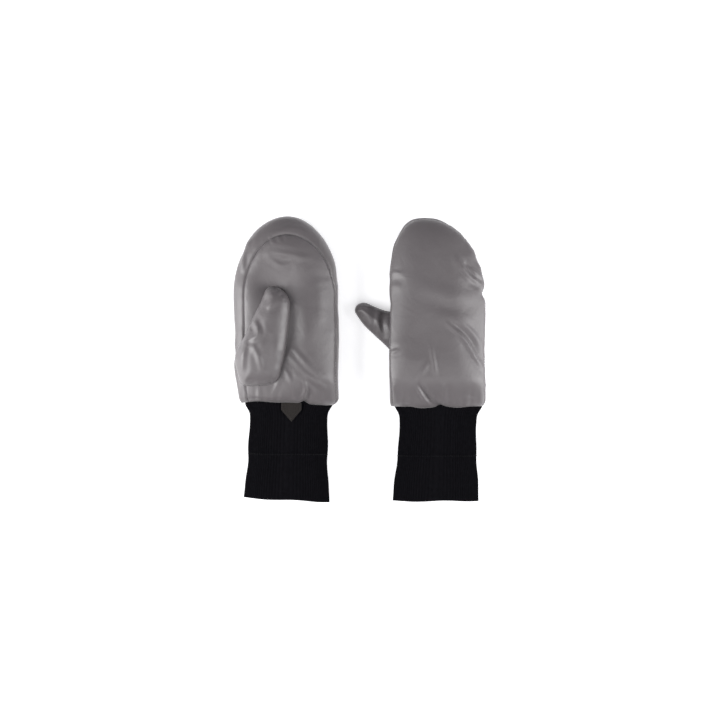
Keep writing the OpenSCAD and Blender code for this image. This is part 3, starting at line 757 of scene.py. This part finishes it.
def soft_material(name, dark, light, roughness, grain, sheen):
    mat, nodes, links, shader = new_material(name, roughness, 0.2)
    shader.inputs["Sheen Weight"].default_value = sheen
    fluff = noise(nodes, links, grain, 5)
    links.new(toned(nodes, links, fluff.outputs["Fac"], dark, light),
              shader.inputs["Base Color"])
    bumped(nodes, links, fluff.outputs["Fac"], 0.001, 0.5, shader)
    return mat


wadding = soft_material("wadding", (0.68, 0.68, 0.66), (0.85, 0.85, 0.83),
                        roughness=0.95, grain=180, sheen=0.3)
fleece = soft_material("fleece_lining", (0.05, 0.05, 0.052), (0.09, 0.09, 0.093),
                       roughness=0.9, grain=420, sheen=0.4)


def inner_layer(side, p, depths, first_row):
    """Outer and inner grid of a layer that follows panel p, with half of its points."""
    hand, (forms, base, points) = hands[side], hand_work[side]
    cut = slice(first_row, -first_row if p == "side" and first_row else None)
    pair = []
    for depth in depths:
        grid = stand_up(hand, forms[p], depth) + points[p] - base[p]
        grid[..., 2] = np.maximum(grid[..., 2], depth + 0.2 * MM)
        pair.append(grid[cut][::2, ::2])
    return pair[0], pair[1], (p == "back") == hand.palm_up


for side in hands:
    for p in ("palm", "side", "back"):
        piece = layer_mesh(side + "_" + p + "_wadding_pad",
                           [inner_layer(side, p, wadding_depths, hem_rows)])
        finish_piece(piece, wadding, side + "_hand", [side + "_" + p + "_wadding"])
    for name, parts, flat_size in (("back_lining", ("back",), (0.115, 0.20)),
                                   ("palm_lining", ("palm", "side"), (0.16, 0.22))):
        piece = layer_mesh(side + "_" + name + "_fleece",
                           [inner_layer(side, p, lining_depths, 0) for p in parts])
        finish_piece(piece, fleece, side + "_hand", [side + "_" + name])

# ---------------------------------------------------------------------------
# Thumbs
# Each thumb is a padded pouch of two panels, sewn together round its edge and set
# on the palm over a hole. The left one lies folded over its palm, the right one
# comes out flat from under its hand.
# ---------------------------------------------------------------------------


class Thumb:
    """Outline of a thumb in millimetres from its pivot, where its four corners are,
    and how high its two panels swell."""

    def __init__(self, side, knots, corners, swell_up, swell_down, reach_in, creases):
        self.side, self.knots, self.corners = side, np.array(knots, float), corners
        self.swell_up, self.swell_down, self.reach_in = swell_up, swell_down, reach_in
        self.creases = creases


thumbs = [
    Thumb("left",
          [(-21.4, -10.8), (-6.2, -12.6), (8.8, -11), (19.4, -5), (24.3, 11.9),
           (28.4, 30.5), (31.6, 56.9), (33.2, 78), (31, 88), (24, 96.4), (13.9, 100.2),
           (6, 96.8), (-0.4, 82), (-9.2, 65), (-18.2, 45.1), (-29.6, 22.9), (-28, 4.9)],
          (0, 3, 8, 12), 15.5, 3.5, 19,
          [(1.5, 3.2, (-123, 48), (-116, 36), (-117, 27), (-130, 23)),
           (-0.9, 3.2, (-127, 44), (-122, 34), (-126, 28)),
           (1.5, 3.4, (-129, 28), (-133, 2), (-134, -20)),
           (1.0, 4.0, (-106, 58), (-101, 63), (-98, 70)),
           (-1.2, 5.0, (-100, 30), (-103, 8), (-106, -12)),
           (1.0, 3.0, (-122, 18), (-114, 2), (-110, -18)),
           (0.9, 2.0, (-90, 79), (-93, 74)),
           (0.9, 2.0, (-84, 72), (-89, 69)),
           (0.8, 2.0, (-96, 81), (-97, 76))]),
    Thumb("right",
          [(-7.3, -3.9), (4.8, -7.9), (15.8, 6.1), (20.8, 26.1), (12.8, 51.1), (-1.3, 66.1),
           (-15.3, 71.4), (-29.3, 72.8), (-41.3, 77.1), (-54, 82.2), (-62.4, 79.8),
           (-65.2, 73.4), (-62.4, 67.3), (-54, 55.8), (-40.7, 43.1), (-26.5, 29.7),
           (-14.3, 14.1)],
          (0, 2, 9, 12), 9.9, 9.6, 18,
          [(-1.8, 3.6, (29, 54), (26, 40), (30, 24)),
           (1.2, 3.0, (22, 60), (20, 46), (24, 30)),
           (0.9, 4.0, (2, 60), (10, 50), (16, 36)),
           (0.8, 2.4, (4, 63), (12, 60))]),
]
thumb_rows, thumb_cols = 84, 44
thumb_pivot_z = {"left": 48.5 * MM, "right": 10 * MM}
seam_drop, seam_rise, seam_rise_len = 12 * MM, 4.5 * MM, 50 * MM
thumb_rest = 0.5 * MM            # between the palm and the seam of the folded thumb


def dome(distance, reach_in, height):
    near = np.clip(distance / (reach_in * MM), 0, 1)
    return height * MM * (1 - (1 - near) ** 2) ** 0.5


def palm_height(hand, x, y):
    """Height of the hand's upper face over a place on the table."""
    local = x - hand.x
    share = np.minimum(share_of(hand, local, y), 0.985)
    top, bottom = faces_of(hand, local, y)
    return (top + bottom) / 2 + rise_of(share, True) * (top - bottom) / 2


def thumb_plan(thumb):
    """Plan grid of a thumb, and each point's distance to the outline."""
    start = thumb_lines[thumb.side].pivot
    line = start + curve_through(thumb.knots, True) * MM
    cuts = [16 * c for c in thumb.corners]
    bottom = resample(line[cuts[0]:cuts[1] + 1], thumb_cols + 1)
    right = resample(line[cuts[1]:cuts[2] + 1], thumb_rows + 1)
    top = resample(line[cuts[2]:cuts[3] + 1], thumb_cols + 1)[::-1]
    left = resample(line[cuts[3]:], thumb_rows + 1)[::-1]
    plan = patch(left, right, bottom, top)
    distance = np.full(plan.shape[:2], 1e9)
    for knot in resample(line, 500):
        distance = np.minimum(distance, np.linalg.norm(plan - knot, axis=-1))
    return plan, distance


def inset(grid, depth):
    """The same grid drawn in by depth from its border."""
    n, m = grid.shape[:2]
    long = np.linalg.norm(grid[-1, m // 2] - grid[0, m // 2])
    wide = np.linalg.norm(grid[n // 2, -1] - grid[n // 2, 0])
    rows_at = (n - 1) * (0.5 + (np.linspace(0, 1, n) - 0.5) * (1 - 2 * depth / long))
    cols_at = (m - 1) * (0.5 + (np.linspace(0, 1, m) - 0.5) * (1 - 2 * depth / wide))
    r0 = np.minimum(rows_at.astype(int), n - 2)
    c0 = np.minimum(cols_at.astype(int), m - 2)
    fr, fc = (rows_at - r0)[:, None, None], (cols_at - c0)[None, :, None]
    top = mix(grid[r0][:, c0], grid[r0][:, c0 + 1], fc)
    low = mix(grid[r0 + 1][:, c0], grid[r0 + 1][:, c0 + 1], fc)
    return mix(top, low, fr)


def thumb_start(side):
    """The thumb's pivot in space, and the direction in which the thumb points."""
    line = thumb_lines[side]
    pivot = Vector((line.pivot[0], line.pivot[1], thumb_pivot_z[side]))
    return pivot, Vector((math.cos(line.angle), math.sin(line.angle), 0))


def bend_at_thumb(piece):
    """The piece's placement is baked into its mesh. It does not bend where its thumb leaves the
    palm.
    """
    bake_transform(piece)


def thumb_layer(sheets, rim, depth):
    """Upper and lower grids of a thumb at a depth below its outside. rim holds the
    same points at the height of the seam."""
    grids = []
    for sheet, sign in zip(sheets, (1, -1)):
        deep = inset(sheet, depth) if depth else sheet.copy()
        z0 = (inset(rim, depth) if depth else rim)[..., 2]
        height = np.maximum(sign * (deep[..., 2] - z0) - depth, 0)
        deep[..., 2] = np.maximum(z0 + sign * height, table_gap + depth)
        grids.append(deep)
    return grids


thumb_rings = {}
for thumb in thumbs:
    side, hand = thumb.side, hands[thumb.side]
    plan, distance = thumb_plan(thumb)
    pivot, ahead = thumb_start(side)
    along = (plan - np.array(pivot[:2])) @ np.array(ahead[:2])
    if hand.palm_up:
        level = (palm_height(hand, plan[..., 0], plan[..., 1]) + thumb_rest
                 + seam_rise * smooth((along + seam_drop) / seam_rise_len))
    else:
        level = np.full(plan.shape[:2], thumb_pivot_z[side])
    upper = np.dstack([plan, level + dome(distance, thumb.reach_in, thumb.swell_up)])
    lower = np.dstack([plan, level - dome(distance, thumb.reach_in, thumb.swell_down)])
    held = np.zeros(plan.shape[:2], bool)
    held[0] = held[-1] = held[:, 0] = held[:, -1] = True
    move_up, move_down = settle(side + "_thumb_form", [upper, lower], [held, held],
                                pressure=4.0, spare=0.0, cap=1.8 * MM)
    rim = np.dstack([plan, level])
    ring = np.concatenate([rim[0, :-1], rim[:-1, -1], rim[-1, :0:-1], rim[:0:-1, 0]])
    thumb_rings[side] = ring
    edge = seam_relief(rim, ring, depth=0.0, width=2.4 * MM, gather=0.7 * MM, seed=2.0)
    move_up[..., 2] += crease_height(upper, thumb.creases) * smooth(distance / (4 * MM))
    move_up[..., 2] += edge * smooth(distance / (2 * MM))
    sheets = upper + move_up, lower + move_down
    outside, inside = (thumb_layer(sheets, rim, depth) for depth in (0, shell_t))
    faces = ("outer", "inner") if hand.palm_up else ("inner", "outer")
    pieces = [("thumb_" + face + "_shell", [(outside[k], inside[k], k == 1)], satin,
               "shell_fabric") for k, face in enumerate(faces)]
    for name, depths, mat, slot in (("thumb_wadding", (1.6 * MM, 3.4 * MM), wadding, "wadding"),
                                    ("thumb_lining", (3.7 * MM, 4.5 * MM), fleece, "lining")):
        outer, inner = (thumb_layer(sheets, rim, depth) for depth in depths)
        pieces.append((name, [(outer[k][::2, ::2], inner[k][::2, ::2], k == 1)
                              for k in (0, 1)], mat, slot))
    for name, layers, mat, slot in pieces:
        piece = layer_mesh(side + "_" + name + "_soft", layers)
        finish_piece(piece, mat, None, [side + "_" + name])
        bend_at_thumb(piece)

# ---------------------------------------------------------------------------
# Seam stitches
# Twisted polyester thread closes every seam. Its stitches lie in the groove that
# the seam pulls into the padding, one stitch every few millimetres.
# ---------------------------------------------------------------------------


def stitch_tree():
    """Stitches along a line: Geometry Nodes with the pitch, length and thickness of a
    stitch as inputs."""
    tree = bpy.data.node_groups.new("stitch_row", "GeometryNodeTree")
    face = tree.interface
    face.new_socket("Line", in_out="INPUT", socket_type="NodeSocketGeometry")
    for label, value in (("Pitch", 0.003), ("Stitch length", 0.0024), ("Thread", 0.0003)):
        socket = face.new_socket(label, in_out="INPUT", socket_type="NodeSocketFloat")
        socket.default_value = value
    face.new_socket("Material", in_out="INPUT", socket_type="NodeSocketMaterial")
    face.new_socket("Stitches", in_out="OUTPUT", socket_type="NodeSocketGeometry")
    nodes, links = tree.nodes, tree.links
    given, result = nodes.new("NodeGroupInput"), nodes.new("NodeGroupOutput")
    curve = nodes.new("GeometryNodeMeshToCurve")
    spaced = nodes.new("GeometryNodeResampleCurve")
    spaced.mode = "LENGTH"
    tangent = nodes.new("GeometryNodeInputTangent")
    aim = nodes.new("FunctionNodeAlignRotationToVector")
    aim.axis = "Z"
    bead = nodes.new("GeometryNodeMeshUVSphere")
    bead.inputs["Segments"].default_value = 6
    bead.inputs["Rings"].default_value = 4
    bead.inputs["Radius"].default_value = 1.0
    size = nodes.new("ShaderNodeCombineXYZ")
    half = nodes.new("ShaderNodeMath")
    half.operation = "MULTIPLY"
    half.inputs[1].default_value = 0.5
    placed = nodes.new("GeometryNodeInstanceOnPoints")
    real = nodes.new("GeometryNodeRealizeInstances")
    paint = nodes.new("GeometryNodeSetMaterial")
    for source, output, target, entry in (
            (given, "Line", curve, "Mesh"),
            (curve, "Curve", spaced, "Curve"),
            (given, "Pitch", spaced, "Length"),
            (tangent, "Tangent", aim, "Vector"),
            (given, "Thread", size, "X"),
            (given, "Thread", size, "Y"),
            (given, "Stitch length", half, 0),
            (half, 0, size, "Z"),
            (spaced, "Curve", placed, "Points"),
            (bead, "Mesh", placed, "Instance"),
            (aim, "Rotation", placed, "Rotation"),
            (size, "Vector", placed, "Scale"),
            (placed, "Instances", real, "Geometry"),
            (real, "Geometry", paint, "Geometry"),
            (given, "Material", paint, "Material"),
            (paint, "Geometry", result, "Stitches")):
        links.new(source.outputs[output], target.inputs[entry])
    return tree


stitch_nodes = stitch_tree()


def thread_material(name, colour):
    mat, nodes, links, shader = new_material(name, 0.6, 0.35)
    twist = noise(nodes, links, 1500)
    dark = tuple(0.75 * c for c in colour)
    links.new(toned(nodes, links, twist.outputs["Fac"], dark, colour),
              shader.inputs["Base Color"])
    bumped(nodes, links, twist.outputs["Fac"], 0.0001, 0.4, shader)
    return mat


def stitch_row(name, line, closed, pitch, length, thick, material):
    """A row of stitches along a line of points, as one mesh."""
    edges = [(i, i + 1) for i in range(len(line) - 1)] + ([(len(line) - 1, 0)] if closed else [])
    mesh = bpy.data.meshes.new(name + "_line")
    mesh.from_pydata([tuple(p) for p in line], edges, [])
    guide = link(bpy.data.objects.new(name + "_line", mesh))
    rows_of = guide.modifiers.new("stitches", "NODES")
    rows_of.node_group = stitch_nodes
    ids = {s.name: s.identifier for s in stitch_nodes.interface.items_tree
           if s.in_out == "INPUT"}
    rows_of[ids["Pitch"]], rows_of[ids["Stitch length"]] = pitch, length
    rows_of[ids["Thread"]], rows_of[ids["Material"]] = thick, material
    made = guide.evaluated_get(bpy.context.evaluated_depsgraph_get())
    final = bpy.data.meshes.new_from_object(made)
    final.name = name
    bpy.data.objects.remove(guide)
    bpy.data.meshes.remove(mesh)
    final.polygons.foreach_set("use_smooth", [True] * len(final.polygons))
    return link(bpy.data.objects.new(name, final))


seam_thread = thread_material("seam_thread", (0.21, 0.195, 0.20))
for side, hand in hands.items():
    forms, base, points = hand_work[side]
    for name, column in (("palm_seam", 0), ("back_seam", -1)):
        line = points["side"][:, column] + outward(hand, forms["side"][:, column]) * 0.2 * MM
        line[:, 2] = np.maximum(line[:, 2], 0.5 * MM)
        piece = stitch_row(side + "_" + name + "_stitches", line[hem_rows:-hem_rows], False,
                           3.2 * MM, 2.6 * MM, 0.28 * MM, seam_thread)
        finish_piece(piece, seam_thread, side + "_hand", [side + "_" + name + "_thread"])
for thumb in thumbs:
    side, ring = thumb.side, thumb_rings[thumb.side]
    piece = stitch_row(side + "_thumb_seam_stitches", ring[::2], True, 3.0 * MM, 2.4 * MM,
                       0.28 * MM, seam_thread)
    finish_piece(piece, seam_thread, None, [side + "_thumb_seam_thread"])
    bend_at_thumb(piece)

# ---------------------------------------------------------------------------
# Wrist elastic and tape
# A flat elastic gathers the shell where it meets the cuff, and a woven tape
# covers the raw edges of that seam on the inside.
# ---------------------------------------------------------------------------


def wrist_rings(side, row_list, depth):
    """Closed rings of points round the wrist, one for each row, depth metres inside."""
    hand, forms = hands[side], hand_work[side][0]
    rings = []
    for r in row_list:
        around = np.concatenate([forms["palm"][r], forms["side"][r, 1:],
                                 forms["back"][r, -2::-1], forms["side"][-1 - r, -2:0:-1]])
        rings.append(stand_up(hand, around, depth))
    return np.stack(rings, 1)


band_rows = range(4, 9)
elastic_mat = soft_material("woven_elastic", (0.05, 0.048, 0.05), (0.09, 0.086, 0.09),
                            roughness=0.8, grain=900, sheen=0.1)
tape_mat = soft_material("wrist_tape", (0.04, 0.038, 0.04), (0.07, 0.066, 0.07),
                         roughness=0.7, grain=900, sheen=0.1)
for side, hand in hands.items():
    for name, depths, mat, slot in (
            ("wrist_elastic", (1.9 * MM, 2.9 * MM), elastic_mat, "elastic"),
            ("wrist_tape", (3.2 * MM, 3.8 * MM), tape_mat, "wrist_tape")):
        outer, inner = (wrist_rings(side, band_rows, d) for d in depths)
        piece = layer_mesh(side + "_" + name + "_band", [(outer, inner, hand.palm_up)], True)
        finish_piece(piece, mat, side + "_hand", [side + "_" + name])

# ---------------------------------------------------------------------------
# Cuffs
# Long tubes of fine black rib knit, sewn into the rounded hem of the hand. The
# lower half is double: a facing is turned up inside and held by a line of thread,
# which shows as a ridge half way down.
# ---------------------------------------------------------------------------
cuff_gap, facing_w, knit_t = 3 * MM, 56 * MM, 1.6 * MM
wrist_half_w, hem_half_w = 44 * MM, 49.5 * MM
wrist_half_t, hem_half_t = 8 * MM, 9.5 * MM
rib_count, rib_height = 92, 0.32 * MM
cuff_power = 2.6                 # squareness of the flattened tube
cuff_shift = 3 * MM              # the wrist end lies this much further to the right
flare, flare_len = 6.4 * MM, 8 * MM
ridge_height, ridge_width, ridge_drop = 0.9 * MM, 1.7 * MM, 1.6 * MM
double_height = 0.35 * MM        # how much thicker the doubled half looks
hem_turn, hem_turn_len = 0.6 * MM, 2.5 * MM
# how much lower the hem hangs on its right side than on its left, and how it is raised
hem_slope = {"left": 0.05, "right": -0.005}
hem_raise = {"left": 1.5 * MM, "right": 2.5 * MM}


def knit_material():
    mat, nodes, links, shader = new_material("black_rib_knit", 0.95, 0.05)
    weave = nodes.new("ShaderNodeGroup")
    weave.node_tree = weave_group
    weave.inputs["Threads per metre"].default_value = 520
    weave.inputs["Unevenness"].default_value = 260
    links.new(toned(nodes, links, weave.outputs["Tone"], (0.0018, 0.0017, 0.0024),
                    (0.0058, 0.0055, 0.0072)), shader.inputs["Base Color"])
    bumped(nodes, links, weave.outputs["Height"], 0.0004, 0.5, shader)
    return mat


knit = knit_material()


def cuff_rings(side, s_list, depth, ribs=True):
    """Rings of points of the cuff at distances below the wrist seam."""
    hand = hands[side]
    run = hand.cuff_hi.y - hand.cuff_lo.y
    a = np.linspace(0, 2 * math.pi, 4 * rib_count, endpoint=False)
    c, s = np.cos(a), np.sin(a)
    wave = np.where(np.arange(len(a)) % 4 < 2, 1, -1) * rib_height if ribs else 0 * a
    rings = []
    for below in s_list:
        t = np.clip((below - cuff_gap) / run, 0, 1)
        past_facing = below - cuff_gap - run + facing_w
        middle_x = hand.middle + cuff_shift * (1 - t)
        middle_z = mix(hand.cuff_hi.z - wrist_half_t, hem_half_t, t)
        wide_top = flare * math.exp(-(max(below, 0) / flare_len) ** 2)
        ridge = ridge_height * math.exp(-((past_facing - ridge_drop) / ridge_width) ** 2)
        double = double_height * smooth(past_facing / (3 * MM))
        hem = hem_turn * math.exp(-((below - cuff_gap - run) / hem_turn_len) ** 2)
        slack = (0.7 * math.sin(below / (17 * MM) + (0 if hand.palm_up else 2))
                 + 0.5 * math.sin(below / (7 * MM) + 1)) * MM * math.sin(math.pi * t)
        w = mix(wrist_half_w, hem_half_w, t ** 1.6) + wide_top + slack - depth
        h = mix(wrist_half_t, hem_half_t, t) + 0.4 * ridge + double - hem - depth
        x = np.sign(c) * np.abs(c) ** (2 / cuff_power)
        z = np.sign(s) * np.abs(s) ** (2 / cuff_power)
        folds = (0.5 * np.sin(x * 9 + 1.2) + 0.35 * np.sin(x * 17 + below / (30 * MM))) * MM
        relief = wave + ridge * (depth == 0)
        up = np.where(z > 0, 1.0, 0.4)
        hang = hem_raise[side] - hem_slope[side] * (x * hem_half_w)
        hang = (hang + 0.6 * MM * np.sin(x * 5 + 0.6)) * smooth((t - 0.35) / 0.65)
        rings.append(np.stack([
            middle_x + x * (w + wave * 0.6),
            hand.wrist_y - below + hang,
            np.maximum(middle_z + z * (h + relief) + folds * up * np.abs(z) * (1 - 0.4 * t),
                       table_gap)], 1))
    return np.stack(rings, 1)


def bend_at_wrist(piece):
    """The piece's placement is baked into its mesh. It does not bend across the wrist's hinge,
    which lies 10 mm below the seam.
    """
    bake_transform(piece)


cuff_thread = thread_material("cuff_thread", (0.003, 0.003, 0.0035))
for side, hand in hands.items():
    run = hand.cuff_hi.y - hand.cuff_lo.y
    hem_at, facing_d = cuff_gap + run, knit_t + 0.2 * MM
    low = np.concatenate([np.linspace(-7 * MM, 16 * MM, 18),
                          np.linspace(18 * MM, hem_at, 58)])
    turn_up = np.linspace(hem_at - facing_w, hem_at, 26)
    stitch_at = hem_at - facing_w + ridge_drop
    outside = cuff_rings(side, low, 0.0)
    pieces = [
        (layer_mesh(side + "_cuff_knit_tube",
                    [(outside, cuff_rings(side, low, knit_t, False), False)], True),
         knit, "cuff_knit", "cuff_knit"),
        (layer_mesh(side + "_cuff_facing_tube",
                    [(cuff_rings(side, turn_up, facing_d, False)[::2],
                      cuff_rings(side, turn_up, facing_d + knit_t, False)[::2],
                      False)], True), knit, "cuff_facing", "cuff_knit"),
        (stitch_row(side + "_cuff_ridge_stitches",
                    cuff_rings(side, [stitch_at], -1.0 * MM, False)[:, 0][::2], True,
                    2.6 * MM, 2.0 * MM, 0.2 * MM, cuff_thread),
         cuff_thread, "cuff_stitch_line", "cuff_thread")]
    for piece, mat, node, slot in pieces:
        finish_piece(piece, mat, None, [side + "_" + node])
        bend_at_wrist(piece)

# ---------------------------------------------------------------------------
# Cuff tabs
# A small five-sided tab of brushed suede is caught in the wrist seam on the palm
# side and hangs over the knit. Its edge is pared thin and stitched round.
# ---------------------------------------------------------------------------
tab_half_w, tab_side, tab_point, tab_t = 11.6 * MM, 8.2 * MM, 13.6 * MM, 1.2 * MM
tab_rise = {"left": 0.9 * MM, "right": 3.4 * MM}    # above the wrist seam, under the hem
tab_gap, tab_pared, tab_inset = 0.25 * MM, 0.55 * MM, 1.9 * MM
tab_x = {side: hand.middle + (6 * MM if hand.palm_up else 3 * MM)
         for side, hand in hands.items()}


def suede_material():
    mat, nodes, links, shader = new_material("brushed_suede", 0.85, 0.15)
    shader.inputs["Sheen Weight"].default_value = 0.12
    nap = noise(nodes, links, 700, 6)
    links.new(toned(nodes, links, nap.outputs["Fac"], (0.007, 0.006, 0.0055),
                    (0.028, 0.024, 0.022)), shader.inputs["Base Color"])
    bumped(nodes, links, nap.outputs["Fac"], 0.0004, 0.6, shader)
    return mat


def cuff_face(side, x, y):
    """Height of the cuff's palm side over a place on the table."""
    hand = hands[side]
    run = hand.cuff_hi.y - hand.cuff_lo.y
    below = hand.wrist_y - y
    t = np.clip((below - cuff_gap) / run, 0, 1)
    share = np.clip(np.abs(x - hand.middle - cuff_shift * (1 - t)) / (46 * MM), 0, 0.98)
    rise = (1 - share ** cuff_power) ** (1 / cuff_power)
    half = mix(wrist_half_t, hem_half_t, t)
    up = 1 if hand.palm_up else -1
    return mix(hand.cuff_hi.z - wrist_half_t, hem_half_t, t) + up * (half + ridge_height) * rise


def tab_place(side, u, v):
    """Points of the tab: u from -1 to 1 across, v in metres down from its top."""
    hand = hands[side]
    half = tab_half_w * np.where(v < tab_side, 1, np.maximum(
        1 - (v - tab_side) / tab_point, 0.03))
    y = hand.wrist_y + tab_rise[side] - v
    return tab_x[side] + u * half, y, half


suede = suede_material()
tab_thread = thread_material("tab_thread", (0.03, 0.026, 0.024))
for side, hand in hands.items():
    up = 1 if hand.palm_up else -1
    u, v = np.meshgrid(np.linspace(-1, 1, 33), np.linspace(0, tab_side + tab_point, 41),
                       indexing="ij")
    x, y, half = tab_place(side, u, v)
    edge = np.minimum((1 - np.abs(u)) * half * 0.9, tab_side + tab_point - v)
    pared = tab_pared * np.exp(-(edge / (0.9 * MM)) ** 2)
    sewn = 0.3 * MM * np.exp(-((edge - tab_inset) / (0.5 * MM)) ** 2)
    z0 = cuff_face(side, x, y) + up * tab_gap
    top = np.dstack([x, y, z0 + up * (tab_t - pared - sewn)])
    under = np.dstack([x, y, z0])
    piece = layer_mesh(side + "_cuff_tab_suede", [(top, under, not hand.palm_up)])
    finish_piece(piece, suede, None, [side + "_cuff_tab"])
    w, far = 1 - tab_inset / tab_half_w, tab_side + tab_point - 3.2 * MM
    path = ([(-w, k) for k in np.linspace(1 * MM, tab_side, 8)]
            + [(-w * (1 - q), mix(tab_side, far, q)) for q in np.linspace(0.1, 1, 12)]
            + [(w * q, mix(far, tab_side, q)) for q in np.linspace(0.1, 1, 12)]
            + [(w, k) for k in np.linspace(tab_side, 1 * MM, 8)])
    line = []
    for a, b in path:
        px = tab_x[side] + a * tab_half_w
        py = tab_place(side, np.array(0.0), np.array(b))[1]
        line.append((px, py, cuff_face(side, px, py) + up * (0.2 * MM + tab_t)))
    stitches = stitch_row(side + "_tab_stitches", np.array(line), False, 2.0 * MM,
                          1.5 * MM, 0.22 * MM, tab_thread)
    finish_piece(stitches, tab_thread, None, [side + "_tab_stitching"])
    for tab_piece in (piece, stitches):
        bend_at_wrist(tab_piece)

# ---------------------------------------------------------------------------
# Care labels
# A blank satin ribbon is sewn into each cuff, on the palm side. The frame's own
# solid has the right shape, so it only gets its finish.
# ---------------------------------------------------------------------------
label_mat = soft_material("label_ribbon", (0.7, 0.7, 0.68), (0.82, 0.82, 0.8),
                          roughness=0.45, grain=700, sheen=0.2)
for side in hands:
    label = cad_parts[side + "_care_label"]
    label.data.materials.clear()
    label.data.materials.append(label_mat)
